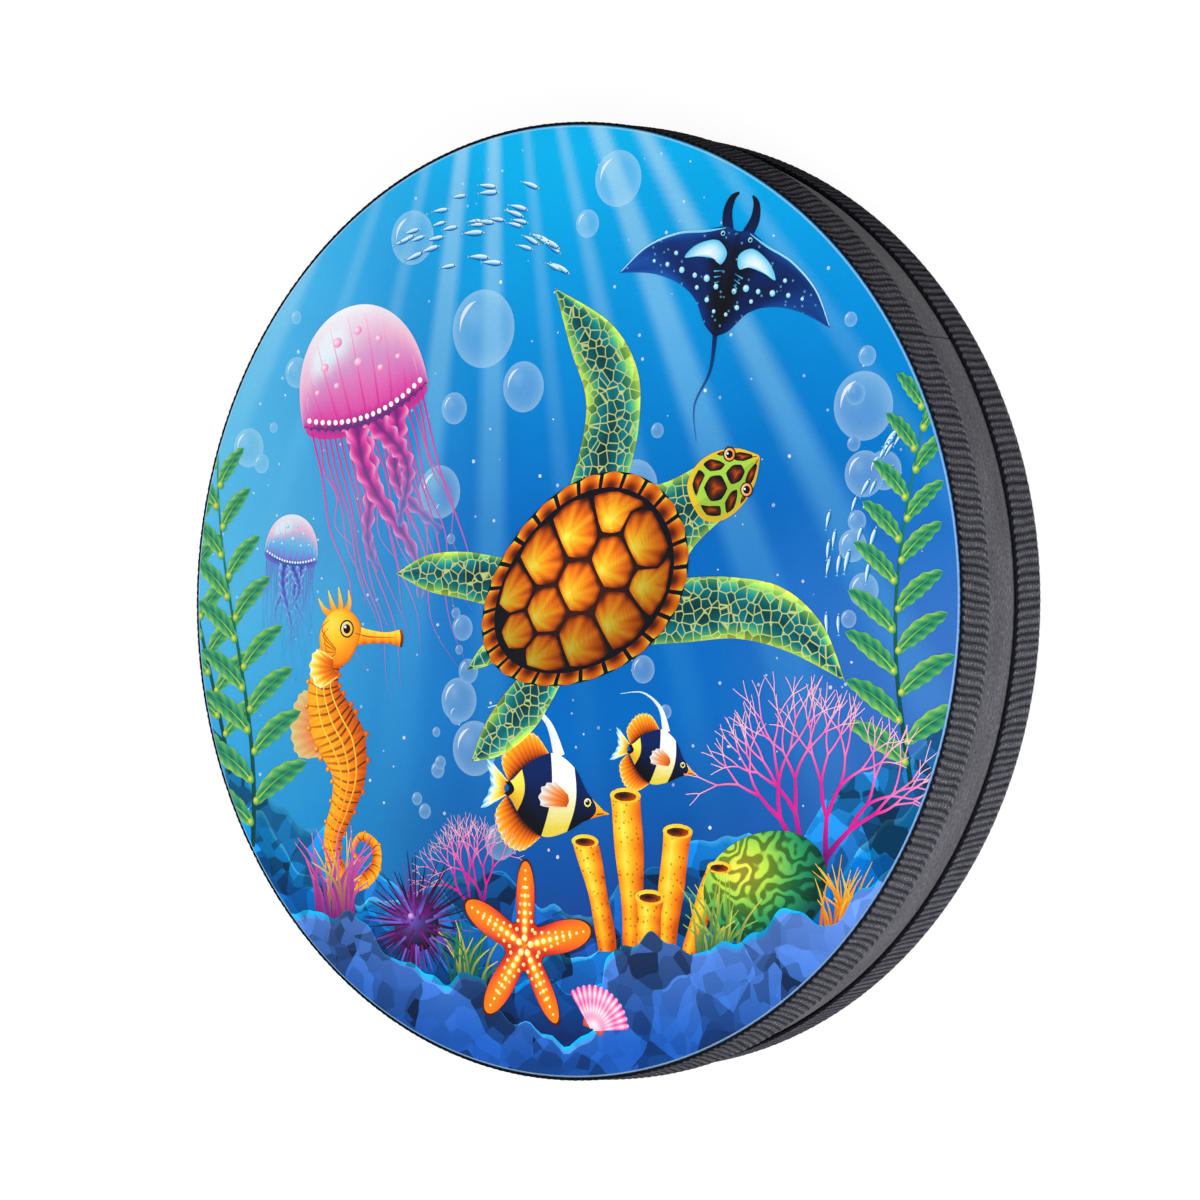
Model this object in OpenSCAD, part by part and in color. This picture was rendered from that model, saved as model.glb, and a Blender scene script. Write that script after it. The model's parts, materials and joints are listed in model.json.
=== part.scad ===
// Ocean drum: a shallow hoop closed by two stretched film heads, with loose steel beads inside
// that wash to and fro. The drum lies flat on its clear back head. Z is the drum's axis, towards
// the printed front head, X points to the right of the print and Y to its top. The origin is the
// centre of the back head's outer face. Lengths are in millimetres.

/* [Drum] */
// Diameter over the heads, 16 inches
head_d = 406.4; // [300:0.2:560]
// Depth over both heads, 2.5 inches
drum_h = 63.5; // [52:0.5:100]
// Gap left between layers that are bonded to each other
layer_gap = 0.05; // [0.02:0.01:0.1]

/* [Shell] */
// Wall of the bent fibre hoop
hoop_t = 5.5; // [4:0.5:9]
// Bevel inside each bearing edge
edge_bevel = 2; // [0.5:0.25:2.5]
// Thickness of the wrap that finishes the hoop
wrap_t = 0.4; // [0.3:0.05:0.8]
// Open seam where the ends of the wrap meet
wrap_seam = 0.6; // [0.3:0.1:1.5]

/* [Heads] */
// Thickness of the film
film_t = 0.3; // [0.2:0.05:0.4]
// Outer radius of the film's bend over the bearing edge
bend_r = 2; // [1.5:0.1:2.5]
// Length of the film's collar, from the face of the head
collar_h = 18; // [12:0.5:19]
// Thickness of the adhesive between collar and wrap
glue_t = 0.3; // [0.2:0.05:0.5]
// How far the adhesive stays inside both ends of the collar's straight part
glue_inset = 1; // [0.5:0.25:3]

/* [Webbing] */
// Width of the webbing
webbing_w = 20; // [14:0.5:24]
// Thickness of the webbing
webbing_t = 1.3; // [0.8:0.1:2.5]
// Radius of the webbing's long edges
webbing_r = 0.4; // [0.1:0.05:0.4]
// How far the webbing's edge lies behind the face of the head
webbing_inset = 0.3; // [0.1:0.1:2]
// Open joint where the ends of the webbing meet
webbing_joint = 0.6; // [0.3:0.1:2]

/* [Beads] */
// Diameter of a steel bead
bead_d = 5; // [4:0.25:6.5]
// Running clearance round a bead
bead_run = 0.3; // [0.2:0.05:0.5]
// Gap between two neighbouring lanes of beads
lane_gap = 2; // [1:0.25:4]
// How far a bead strays from its even place along and across its lane
bead_stray = 0.8; // [0:0.1:0.8]

/* [Hidden] */
$fn = 180;
ball_fn = 32;
cut_over = 1;

// Directions of the seams, in degrees from the right of the print towards its top
wrap_seam_deg = 32;
front_joint_deg = 214;
back_joint_deg = 196;

// Layers from the film inwards, as radii
film_or = head_d / 2;
film_ir = film_or - film_t;
glue_or = film_ir - layer_gap;
glue_ir = glue_or - glue_t;
wrap_or = glue_ir - layer_gap;
wrap_ir = wrap_or - wrap_t;
hoop_or = wrap_ir - layer_gap;
hoop_ir = hoop_or - hoop_t;
webbing_ir = film_or + layer_gap;

// The bearing edge stands against the film, and its roundover ends where the film's bend ends
edge_z = film_t + layer_gap;
edge_r = bend_r - edge_z;

// Beads lie in lanes along X. Each bead belongs to a wave, and wave m starts m steps from the
// wall at the right end of its lane. Washed to the right, every wave closes up to packed_step.
WAVES = 16;
bead_z = film_t + bead_run + bead_d / 2;
lane_r = hoop_ir - bead_run - bead_d / 2;
lane_pitch = bead_d + lane_gap;
lane_side = min(bead_stray, (lane_gap - bead_run) / 2);
wave_step = 2 * lane_r / (WAVES - 0.5);
packed_step = (bead_d + bead_run + 2 * bead_stray) / 2;
lane_reach_share = 0.98;
last_lane = floor(lane_r * lane_reach_share / lane_pitch);
scatter_seed = 41;

// Name of a wave's node, and the list of all the nodes
function wave_name(w) = str("bead_wave_", w < 9 ? "0" : "", w + 1);

// Angle that an open joint of a given length takes out of a ring
function joint_deg(gap, r) = 360 * gap / (2 * PI * r);

// Half the length of a lane, between the places of a bead against the wall at both its ends
function lane_half(lane) = sqrt(pow(lane_r, 2) - pow(abs(lane) * lane_pitch + lane_side, 2));

// Waves that have a bead in a lane: two or three steps apart, as the lane's own draws say
function lane_waves(lane, draws, w, k = 0) =
    w * wave_step + 2 * bead_stray > 2 * lane_half(lane) ? [] :
    concat([w], lane_waves(lane, draws, w + (draws[k] < 0.5 ? 2 : 3), k + 1));

// Places of a wave's beads, each with its stray along and across the lane
function wave_places(w) = [
    for (lane = [-last_lane : last_lane])
        let (
            draws = rands(0, 1, WAVES, scatter_seed + lane),
            first = floor(3 * rands(0, 1, 1, scatter_seed - 2 * last_lane + lane)[0]),
            along = rands(-1, 1, WAVES, scatter_seed + 4 * last_lane + lane)[w],
            across = rands(-1, 1, WAVES, scatter_seed + 7 * last_lane + lane)[w]
        )
        for (m = lane_waves(lane, draws, first))
            if (m == w) [
                lane_half(lane) - w * wave_step - bead_stray * (1 + along),
                lane * lane_pitch + lane_side * across,
                bead_z
            ]
];

// Turns a profile of radius and height into a ring with an open joint
module split_ring(joint, r, direction) {
    open_deg = joint_deg(joint, r);
    rotate([0, 0, direction + open_deg / 2])
        rotate_extrude(angle = 360 - open_deg)
            children();
}

// Places a piece that belongs to the back head, or its twin at the front head
module at_head(front) {
    if (front)
        translate([0, 0, drum_h]) mirror([0, 0, 1]) children();
    else
        children();
}

// Section of one end of the hoop, cut away outside its roundover and inside its bevel
module edge_cut() {
    difference() {
        translate([hoop_or - edge_r, edge_z - cut_over])
            square([edge_r + cut_over, edge_r + cut_over]);
        translate([hoop_or - edge_r, edge_z + edge_r])
            circle(r = edge_r);
    }
    polygon([
        [hoop_ir - cut_over, edge_z - cut_over],
        [hoop_ir + edge_bevel + cut_over, edge_z - cut_over],
        [hoop_ir - cut_over, edge_z + edge_bevel + cut_over]
    ]);
}

// Bent fibre hoop with a rounded and bevelled bearing edge at both ends
module shell_hoop() {
    color("#4b4541")
        rotate_extrude()
            difference() {
                translate([hoop_ir, edge_z])
                    square([hoop_t, drum_h - 2 * edge_z]);
                edge_cut();
                translate([0, drum_h]) mirror([0, 1]) edge_cut();
            }
}

// Grey wrap round the hoop, with its seam
module shell_wrap() {
    color("#606068")
        split_ring(wrap_seam, wrap_or, wrap_seam_deg)
            translate([wrap_ir, bend_r])
                square([wrap_t, drum_h - 2 * bend_r]);
}

// Film stretched over a bearing edge, with its collar down the side
module head() {
    rotate_extrude()
        union() {
            square([film_or - bend_r, film_t]);
            translate([film_ir, bend_r])
                square([film_t, collar_h - bend_r]);
            translate([film_or - bend_r, bend_r])
                intersection() {
                    difference() {
                        circle(r = bend_r);
                        circle(r = bend_r - film_t);
                    }
                    translate([0, -bend_r]) square(bend_r);
                }
        }
}

// Printed front head
module front_head() {
    color("#1f9ad6") at_head(true) head();
}

// Clear back head, which the drum lies on
module back_head() {
    color("#dfe8ec", 0.45) at_head(false) head();
}

// Adhesive between a collar and the wrap
module head_adhesive() {
    rotate_extrude()
        translate([glue_ir, bend_r + glue_inset])
            square([glue_t, collar_h - bend_r - 2 * glue_inset]);
}

module front_head_adhesive() {
    color("#d8cfae") at_head(true) head_adhesive();
}

module back_head_adhesive() {
    color("#d8cfae") at_head(false) head_adhesive();
}

// Section of the webbing: flat, with rounded long edges
module webbing_section() {
    translate([webbing_ir, webbing_inset]) {
        translate([0, webbing_r]) square([webbing_t, webbing_w - 2 * webbing_r]);
        translate([webbing_r, 0]) square([webbing_t - 2 * webbing_r, webbing_w]);
        for (x = [webbing_r, webbing_t - webbing_r], y = [webbing_r, webbing_w - webbing_r])
            translate([x, y]) circle(r = webbing_r);
    }
}

// Webbing bonded over the collar of a head
module webbing(direction) {
    split_ring(webbing_joint, webbing_ir, direction)
        webbing_section();
}

module front_webbing() {
    color("#26262a") at_head(true) webbing(front_joint_deg);
}

module back_webbing() {
    color("#26262a") at_head(false) webbing(back_joint_deg);
}

// One wave of loose beads, a step further from the right wall than the wave before it
module bead_wave(w) {
    color("#c9ccd1")
        for (place = wave_places(w))
            translate(place) sphere(d = bead_d, $fn = ball_fn);
}

shell_hoop();
shell_wrap();
front_head();
back_head();
front_head_adhesive();
back_head_adhesive();
front_webbing();
back_webbing();
for (w = [0 : WAVES - 1])
    bead_wave(w);
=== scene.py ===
"""Ocean drum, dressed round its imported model.

The drum lies flat on its clear back head. Z is its axis, X points to the right of the print and
Y to its top, in metres. The printed film, the webbings, the hoop and the sea print are surfaces
worked out here with numpy. The wrap, the clear head, the adhesive and the loose beads are the
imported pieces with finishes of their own.
"""

from __future__ import annotations

import json
import logging
import math
from dataclasses import dataclass, field, replace
from enum import Enum
from typing import ClassVar, Sequence

import bpy
import numpy as np
from mathutils import Euler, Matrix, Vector

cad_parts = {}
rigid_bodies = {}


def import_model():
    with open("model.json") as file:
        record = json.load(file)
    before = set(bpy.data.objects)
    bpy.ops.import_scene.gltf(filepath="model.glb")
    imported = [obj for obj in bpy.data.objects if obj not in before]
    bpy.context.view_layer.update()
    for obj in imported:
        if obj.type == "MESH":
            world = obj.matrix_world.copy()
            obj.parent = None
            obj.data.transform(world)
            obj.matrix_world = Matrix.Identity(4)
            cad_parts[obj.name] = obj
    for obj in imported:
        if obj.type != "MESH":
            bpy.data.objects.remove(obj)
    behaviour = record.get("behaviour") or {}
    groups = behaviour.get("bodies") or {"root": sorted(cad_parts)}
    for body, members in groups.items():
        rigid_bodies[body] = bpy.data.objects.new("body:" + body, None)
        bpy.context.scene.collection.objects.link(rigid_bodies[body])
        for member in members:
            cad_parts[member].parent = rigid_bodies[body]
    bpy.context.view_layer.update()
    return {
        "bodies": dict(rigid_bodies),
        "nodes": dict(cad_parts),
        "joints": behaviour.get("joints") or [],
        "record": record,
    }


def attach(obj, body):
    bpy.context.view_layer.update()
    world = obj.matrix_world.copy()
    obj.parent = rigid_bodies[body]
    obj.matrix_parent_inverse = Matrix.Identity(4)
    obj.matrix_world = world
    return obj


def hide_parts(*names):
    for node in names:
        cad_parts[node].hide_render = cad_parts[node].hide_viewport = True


LOG = logging.getLogger("ocean_drum")
MM = 0.001
TURN = 2 * math.pi
GOLDEN = 0.618034
TINY = 1e-9
SHELL_BODY = "shell"
WRAP_SEAM_DEG = 32.0
BARE_FILM = (150, 188, 216)
PLATE_SEAM = (206, 216, 128)
SPECK_BLUE = (110, 190, 230)

Array = np.ndarray
Colour = tuple[float, float, float]
Points = Sequence[Sequence[float]]
Grid = tuple[Array, Array, Array]


class Ink(Enum):
    """The print's inks, as screen values."""

    WHITE = (246, 250, 252)
    FOAM = (196, 234, 248)
    SKY = (92, 196, 238)
    CYAN = (0, 178, 238)
    AZURE = (0, 138, 212)
    BLUE = (0, 104, 188)
    IRIS = (84, 124, 200)
    DEEP = (22, 72, 150)
    NAVY = (12, 34, 86)
    BLACK = (7, 9, 18)
    LEMON = (255, 232, 84)
    GOLD = (255, 192, 40)
    ORANGE = (248, 130, 26)
    RUST = (192, 74, 18)
    UMBER = (74, 30, 16)
    CORAL = (242, 88, 50)
    RED = (200, 36, 28)
    BLUSH = (252, 190, 214)
    PINK = (246, 120, 186)
    MAGENTA = (214, 38, 148)
    PLUM = (108, 22, 112)
    VIOLET = (124, 92, 204)
    LIME = (170, 214, 74)
    GREEN = (46, 146, 88)
    TEAL = (12, 116, 124)
    FOREST = (8, 60, 66)

    @property
    def flat(self) -> Array:
        """The ink's linear colour."""
        return linear(self.value)


(
    WHITE, FOAM, SKY, CYAN, AZURE, BLUE, IRIS, DEEP, NAVY, BLACK, LEMON, GOLD, ORANGE, RUST, UMBER, CORAL, RED,
    BLUSH, PINK, MAGENTA, PLUM, VIOLET, LIME, GREEN, TEAL, FOREST,
) = Ink


class Pattern(Enum):
    """What a printed ink carries besides its own shading."""

    PLAIN = "plain"
    PLATES = "plates"
    PORES = "pores"
    FOLDS = "folds"
    FACETS = "facets"
    SPECKS = "specks"


def linear(colour: Sequence[float]) -> Array:
    """Turns screen values from 0 to 255 into the linear values that a shader takes."""
    value = np.asarray(colour, float) / 255
    return np.where(value <= 0.04045, value / 12.92, ((value + 0.055) / 1.055) ** 2.4)


def smooth(low: float, high: float, value: Array) -> Array:
    """Eases from 0 at low to 1 at high, with level ends."""
    t = np.clip((value - low) / (high - low), 0, 1)
    return t * t * (3 - 2 * t)


def tones(value: Array, *stops: tuple[float, Ink]) -> Array:
    """Linear colours for values, blended on screen between stops of (value, ink)."""
    channels = [np.interp(value, [s[0] for s in stops], [s[1].value[i] for s in stops]) for i in range(3)]
    return linear(np.stack(channels, -1))


def over(under: Array, upper: Array, amount: Array | float) -> Array:
    """Lays one colour over another by an amount from 0 to 1."""
    share = np.clip(np.asarray(amount), 0, 1)[..., None] if np.ndim(amount) else amount
    return under * (1 - share) + upper * share


@dataclass(frozen=True)
class Ring:
    """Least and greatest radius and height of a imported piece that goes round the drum's axis."""

    inner: float
    outer: float
    bottom: float
    top: float

    @classmethod
    def of(cls, frame: dict, node: str) -> Ring:
        """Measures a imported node.

        Args:
            node: the node's name.

        Returns:
            Its ring, in metres.
        """
        mesh = frame["nodes"][node].data
        points = np.empty(3 * len(mesh.vertices))
        mesh.vertices.foreach_get("co", points)
        points = points.reshape(-1, 3)
        radius = np.hypot(points[:, 0], points[:, 1])
        return cls(radius.min(), radius.max(), points[:, 2].min(), points[:, 2].max())


@dataclass(frozen=True)
class Wire:
    """A node's output, which can be added to, taken from and multiplied."""

    shader: Shader
    socket: bpy.types.NodeSocket

    def __add__(self, other: Wire | float) -> Wire:
        """The sum."""
        return self.shader.math("ADD", self, other)

    def __sub__(self, other: Wire | float) -> Wire:
        """The difference."""
        return self.shader.math("SUBTRACT", self, other)

    def __rsub__(self, other: float) -> Wire:
        """What is left of a number."""
        return self.shader.math("SUBTRACT", other, self)

    def __mul__(self, other: Wire | float) -> Wire:
        """The product."""
        return self.shader.math("MULTIPLY", self, other)

    def __abs__(self) -> Wire:
        """The distance from 0."""
        return self.shader.math("ABSOLUTE", self)


class Shader:
    """A material with a Principled surface, and short ways to wire nodes into it."""

    def __init__(self, name: str, base: Colour, roughness: float, **sockets: float) -> None:
        """Makes the material.

        Args:
            name: its name.
            base: linear base colour.
            roughness: its roughness.
            sockets: the Principled node's other sockets, with _ for a space.
        """
        self.material = bpy.data.materials.new(name)
        self.material.use_nodes = True
        self.tree = self.material.node_tree
        self.surface = self.tree.nodes["Principled BSDF"]
        self.surface.inputs["Base Color"].default_value = (*base, 1)
        self.surface.inputs["Roughness"].default_value = roughness
        for socket, value in sockets.items():
            self.surface.inputs[socket.replace("_", " ")].default_value = value

    def plug(self, socket: bpy.types.NodeSocket, value: Wire | float | Colour) -> None:
        """Links a wire into a socket, or sets the socket to a plain value.

        Args:
            socket: the socket.
            value: a wire, a number, a vector or a colour.
        """
        if isinstance(value, Wire):
            self.tree.links.new(value.socket, socket)
        else:
            socket.default_value = (*value, 1) if socket.type == "RGBA" else value

    def feed(self, socket: str, value: Wire) -> None:
        """Links a wire into a socket of the surface."""
        self.plug(self.surface.inputs[socket], value)

    def node(self, kind: str, inputs: dict[int | str, Wire | float | Colour], **settings: object) -> bpy.types.Node:
        """Adds a node.

        Args:
            kind: its kind, such as TexNoise.
            inputs: what its sockets take, by name or number.
            settings: its own settings.

        Returns:
            The node.
        """
        made = self.tree.nodes.new("ShaderNode" + kind)
        for name, value in settings.items():
            setattr(made, name, value)
        for socket, value in inputs.items():
            self.plug(made.inputs[socket], value)
        return made

    def wire(self, kind: str, inputs: dict, output: int | str = 0, **settings: object) -> Wire:
        """Adds a node and takes one of its outputs, by name or number."""
        return Wire(self, self.node(kind, inputs, **settings).outputs[output])

    def math(self, operation: str, a: Wire | float, b: Wire | float = 0.0, clamp: bool = False) -> Wire:
        """A sum worked out by a Math node."""
        return self.wire("Math", {0: a, 1: b}, operation=operation, use_clamp=clamp)

    def ease(self, value: Wire, low: float, high: float, to_low: float = 0, to_high: float = 1) -> Wire:
        """Maps low..high to to_low..to_high, with level ends."""
        numbers = dict(enumerate((value, low, high, to_low, to_high)))
        return self.wire("MapRange", numbers, interpolation_type="SMOOTHSTEP")

    def mix(self, factor: Wire, a: Wire | Colour, b: Colour) -> Wire:
        """Mixes two colours."""
        return self.wire("Mix", {"Factor": factor, 6: a, 7: b}, 2, data_type="RGBA")

    def ramp(self, factor: Wire, stops: Sequence[tuple[float, Colour]]) -> Wire:
        """Adds an eased colour ramp.

        Args:
            factor: where on the ramp the colour is read.
            stops: places and linear colours.

        Returns:
            The colour.
        """
        made = self.node("ValToRGB", {0: factor})
        made.color_ramp.interpolation = "EASE"
        elements = made.color_ramp.elements
        for element, (place, colour) in zip(elements, (stops[0], stops[-1])):
            element.position = place
            element.color = (*colour, 1)
        for place, colour in stops[1:-1]:
            elements.new(place).color = (*colour, 1)
        return Wire(self, made.outputs[0])

    def place(self) -> Wire:
        """Object coordinates, which are the drum's own frame in metres."""
        return self.wire("TexCoord", {}, "Object")

    def attribute(self, name: str, part: str = "Fac") -> Wire:
        """A mesh attribute's value."""
        return self.wire("Attribute", {}, part, attribute_name=name)

    def split(self, vector: Wire) -> list[Wire]:
        """The x, y and z of a vector."""
        return [Wire(self, output) for output in self.node("SeparateXYZ", {0: vector}).outputs]

    def join(self, x: Wire, y: Wire, z: Wire | float = 0.0) -> Wire:
        """A vector of x, y and z."""
        return self.wire("CombineXYZ", {0: x, 1: y, 2: z})

    def noise(self, vector: Wire, scale: float, detail: float = 3, roughness: float = 0.5) -> Wire:
        """Noise from 0 to 1 at a vector."""
        return self.wire("TexNoise", {"Vector": vector, "Scale": scale, "Detail": detail, "Roughness": roughness})

    def cells(self, vector: Wire, scale: float, random: float, output: str = "Distance", feature: str = "F1") -> Wire:
        """Voronoi cells at a vector: the distance from their points or edges, or their own colour."""
        inputs = {"Vector": vector, "Scale": scale, "Randomness": random}
        return self.wire("TexVoronoi", inputs, output, feature=feature)

    def cell_tone(self, vector: Wire, scale: float, random: float) -> Wire:
        """A random number from 0 to 1 for each Voronoi cell."""
        return self.split(self.cells(vector, scale, random, "Color"))[0]

    def warp(self, vector: Wire, scale: float, reach: float) -> Wire:
        """A vector pushed aside by noise, by as much as reach in metres."""
        push = self.wire("TexNoise", {"Vector": vector, "Scale": scale}, "Color")
        return self.wire("VectorMath", {0: push, 1: (2 * reach, 2 * reach, 0), 2: vector}, operation="MULTIPLY_ADD")

    def tint(self, colour: Wire, level: Wire) -> Wire:
        """A colour made lighter or darker by a number about 1."""
        return self.wire("VectorMath", {0: colour, "Scale": level}, operation="SCALE")

    def bump(self, height: Wire, depth: float, strength: float = 1) -> None:
        """Raises the surface's relief.

        Args:
            height: the relief, from 0 to 1.
            depth: how high 1 is, in metres.
            strength: its share.
        """
        made = self.node("Bump", {"Height": height, "Distance": depth, "Strength": strength})
        if self.surface.inputs["Normal"].links:
            self.plug(made.inputs["Normal"], Wire(self, self.surface.inputs["Normal"].links[0].from_socket))
        self.feed("Normal", Wire(self, made.outputs[0]))


@dataclass(frozen=True)
class CharcoalYarn:
    """Charcoal yarn: painted shade darkens the grooves and leaves the ribs lighter, with fine twisted fibres."""

    fibre: float = 1400
    lint: float = 160
    fleck: float = 2300
    fibre_share: float = 1.7
    lint_share: float = 0.4
    fleck_share: float = 0.35
    depth: float = 0.12 * MM
    ramp: tuple[tuple[float, Colour], ...] = (
        (0, (0.008, 0.008, 0.011)),
        (0.14, (0.022, 0.022, 0.028)),
        (0.45, (0.045, 0.0445, 0.055)),
        (0.8, (0.088, 0.087, 0.105)),
        (1.0, (0.19, 0.19, 0.22)),
    )

    def material(self) -> bpy.types.Material:
        """Makes the finish from the mesh's relief and its UV map, in metres.

        Returns:
            The yarn.
        """
        shader = Shader("charcoal_webbing", (0.04, 0.04, 0.045), 0.75, Specular_IOR_Level=0)
        uv = shader.wire("UVMap", {})
        along, across, _ = shader.split(uv)
        fibre = shader.noise(shader.join(along, across * 0.7), self.fibre, 3, 0.7)
        lint = shader.noise(uv, self.lint, 4, 0.6)
        fleck = shader.ease(shader.noise(uv, self.fleck, 1), 0.66, 0.76, 0, self.fleck_share)
        relief = shader.attribute("relief")
        # The relief carries painted shade: dark grooves, a dark band at the top edge and a dark back face.
        tone = relief + (fibre - 0.5) * self.fibre_share + (lint - 0.5) * self.lint_share
        shader.feed("Base Color", shader.ramp(shader.math("ADD", tone, fleck * relief, clamp=True), self.ramp))
        shader.bump(fibre, self.depth, 0.7)
        return shader.material


@dataclass(frozen=True)
class BrushedWrap:
    """Dark grey wrap with a fine grain brushed round the shell, a soft sheen and a seam."""

    radius: float
    grain: float = 900
    cloud: float = 110
    seam_half: float = 0.15 * MM
    seam_blur: float = 0.6 * MM
    grain_depth: float = 0.06 * MM
    seam_depth: float = 0.25 * MM
    ramp: tuple[tuple[float, Colour], ...] = (
        (0.34, (0.038, 0.038, 0.045)),
        (0.5, (0.092, 0.092, 0.106)),
        (0.66, (0.2, 0.2, 0.225)),
    )

    def round_shell(self, shader: Shader) -> tuple[Wire, Wire]:
        """Length round the shell from the side opposite the seam, and height.

        Args:
            shader: the material's shader.

        Returns:
            Both, in metres.
        """
        x, y, z = shader.split(shader.place())
        turn = math.radians(180 - WRAP_SEAM_DEG)
        across = x * math.cos(turn) - y * math.sin(turn)
        up = x * math.sin(turn) + y * math.cos(turn)
        return shader.math("ARCTAN2", up, across) * self.radius, z

    def material(self) -> bpy.types.Material:
        """Makes the finish: long noise for the grain, a darker line with a dent for the seam.

        Returns:
            The wrap's finish.
        """
        shader = Shader(
            "brushed_wrap", (0.06, 0.06, 0.066), 0.5, Sheen_Weight=0.22, Sheen_Roughness=0.4, Specular_IOR_Level=0,
        )
        along, height = self.round_shell(shader)
        grain = shader.noise(shader.join(along * 0.55, height), self.grain, 4, 0.8)
        cloud = shader.noise(shader.join(along * 0.25, height), self.cloud)
        colour = shader.ramp(grain * 0.8 + cloud * 0.2, self.ramp)
        seam = shader.ease(math.pi * self.radius - abs(along), self.seam_blur, self.seam_half)
        shader.feed("Base Color", shader.mix(seam * 0.8, colour, (0.022, 0.022, 0.027)))
        shader.feed("Roughness", shader.ease(grain, 0.35, 0.65, 0.42, 0.6))
        shader.bump(grain, self.grain_depth, 0.8)
        shader.bump(1 - seam, self.seam_depth)
        return shader.material


@dataclass(frozen=True)
class PrintedInk:
    """Printed ink under a satin film: the shape's own paint, a fine grain and its pattern."""

    pattern: Pattern = Pattern.PLAIN

    def material(self) -> bpy.types.Material:
        """Makes the ink, once for each pattern.

        Returns:
            The ink.
        """
        name = "printed_ink_" + self.pattern.value
        if name in bpy.data.materials:
            return bpy.data.materials[name]
        shader = Shader(name, (0.1, 0.3, 0.6), 0.46, Specular_IOR_Level=0.06)
        place = shader.place()
        paint = self.patterned(shader, shader.attribute("paint", "Color"), place)
        grain = shader.noise(place, 1700, 2)
        soft = shader.noise(place, 26)
        level = shader.ease(grain, 0.25, 0.75, 0.955, 1.045) + shader.ease(soft, 0.3, 0.7, -0.03, 0.03)
        shader.feed("Base Color", shader.tint(paint, level))
        shader.feed("Roughness", shader.ease(soft, 0.3, 0.7, 0.42, 0.52))
        return shader.material

    def patterned(self, shader: Shader, paint: Wire, place: Wire) -> Wire:
        """Puts the pattern on the paint: Voronoi cells, or a sine of noise for folds.

        Args:
            shader: the ink's shader.
            paint: the shape's own colour.
            place: where the ink lies.

        Returns:
            The colour with its pattern.
        """
        if self.pattern is Pattern.PLATES:
            edge = shader.cells(place, 225, 0.8, feature="DISTANCE_TO_EDGE")
            plate = shader.tint(paint, shader.ease(shader.cell_tone(place, 225, 0.8), 0, 1, 0.6, 1.5))
            return shader.mix(shader.ease(edge, 0.075, 0.02) * 0.85, plate, linear(PLATE_SEAM))
        if self.pattern is Pattern.PORES:
            return shader.tint(paint, shader.ease(shader.cells(place, 420, 1), 0.1, 0.32, 0.4, 1))
        if self.pattern is Pattern.FOLDS:
            fold = shader.math("SINE", shader.noise(place, 55, 2, 0.4) * 62)
            return shader.tint(paint, shader.ease(fold, -0.5, 0.6, 0.35, 1.12))
        if self.pattern is Pattern.FACETS:
            warped = shader.warp(place, 34, 8 * MM)
            large, small = shader.cell_tone(warped, 46, 0.85), shader.cell_tone(warped, 120, 1)
            lit = shader.ease(large, 0.1, 0.9, 0.3, 1.45) + shader.ease(small, 0, 1, -0.16, 0.45)
            return shader.tint(paint, lit)
        if self.pattern is Pattern.SPECKS:
            speck = shader.ease(shader.cells(place, 300, 1), 0.2, 0.12) * 0.5
            return shader.mix(speck, paint, linear(SPECK_BLUE))
        return paint


class ClearFilm:
    """Clear polyester: almost no colour, a sharp gloss and a faint haze of fine scuffs."""

    def material(self) -> bpy.types.Material:
        """Makes the finish: warped noise for the haze, and noise drawn out along a diagonal for the scuffs.

        Returns:
            The film's finish.
        """
        shader = Shader("clear_film", (0.86, 0.92, 0.95), 0.12)
        place = shader.place()
        haze = shader.noise(shader.warp(place, 9, 20 * MM), 14, 5, 0.6)
        x, y, z = shader.split(place)
        scuffs = shader.noise(shader.join((x + y * 0.6) * 0.04, y - x, z), 700, 2, 0.6)
        scuff = shader.ease(scuffs, 0.6, 0.72) * shader.ease(haze, 0.4, 0.7)
        shader.feed("Base Color", shader.mix(scuff, (0.82, 0.9, 0.94), (0.95, 0.97, 0.98)))
        shader.feed("Roughness", shader.ease(haze, 0.3, 0.75, 0.08, 0.22) + scuff * 0.3)
        shader.feed("Alpha", shader.ease(haze, 0.3, 0.75, 0.09, 0.17) + scuff * 0.25)
        return shader.material


class BeadSteel:
    """Polished steel balls with faint handling marks."""

    def material(self) -> bpy.types.Material:
        """Makes the finish: noise from bright to dulled steel.

        Returns:
            The steel.
        """
        shader = Shader("bead_steel", (0.62, 0.63, 0.65), 0.16, Metallic=1)
        marks = shader.noise(shader.place(), 900)
        shader.feed("Roughness", shader.ease(marks, 0.35, 0.7, 0.1, 0.26))
        return shader.material


@dataclass(frozen=True)
class HoopFibre:
    """Pressed wood fibre of the hoop, mottled and dull."""

    depth: float = 0.15 * MM
    ramp: tuple[tuple[float, Colour], ...] = (
        (0.3, (0.055, 0.046, 0.04)),
        (0.55, (0.1, 0.085, 0.075)),
        (0.8, (0.17, 0.15, 0.13)),
    )

    def material(self) -> bpy.types.Material:
        """Makes the finish from one noise, which tints and raises it.

        Returns:
            The fibre.
        """
        shader = Shader("hoop_fibre", (0.1, 0.085, 0.075), 0.85)
        mottle = shader.noise(shader.place(), 420, 5, 0.7)
        shader.feed("Base Color", shader.ramp(mottle, self.ramp))
        shader.bump(mottle, self.depth, 0.6)
        return shader.material


class CreamAdhesive:
    """Cream adhesive with small bubbles."""

    def material(self) -> bpy.types.Material:
        """Makes the finish: noise from dark cream to pale.

        Returns:
            The adhesive.
        """
        shader = Shader("cream_adhesive", (0.55, 0.5, 0.36), 0.4)
        bubbles = shader.noise(shader.place(), 700, 4)
        shader.feed("Base Color", shader.ramp(bubbles, [(0.3, (0.42, 0.37, 0.25)), (0.7, (0.66, 0.61, 0.46))]))
        return shader.material


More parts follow.
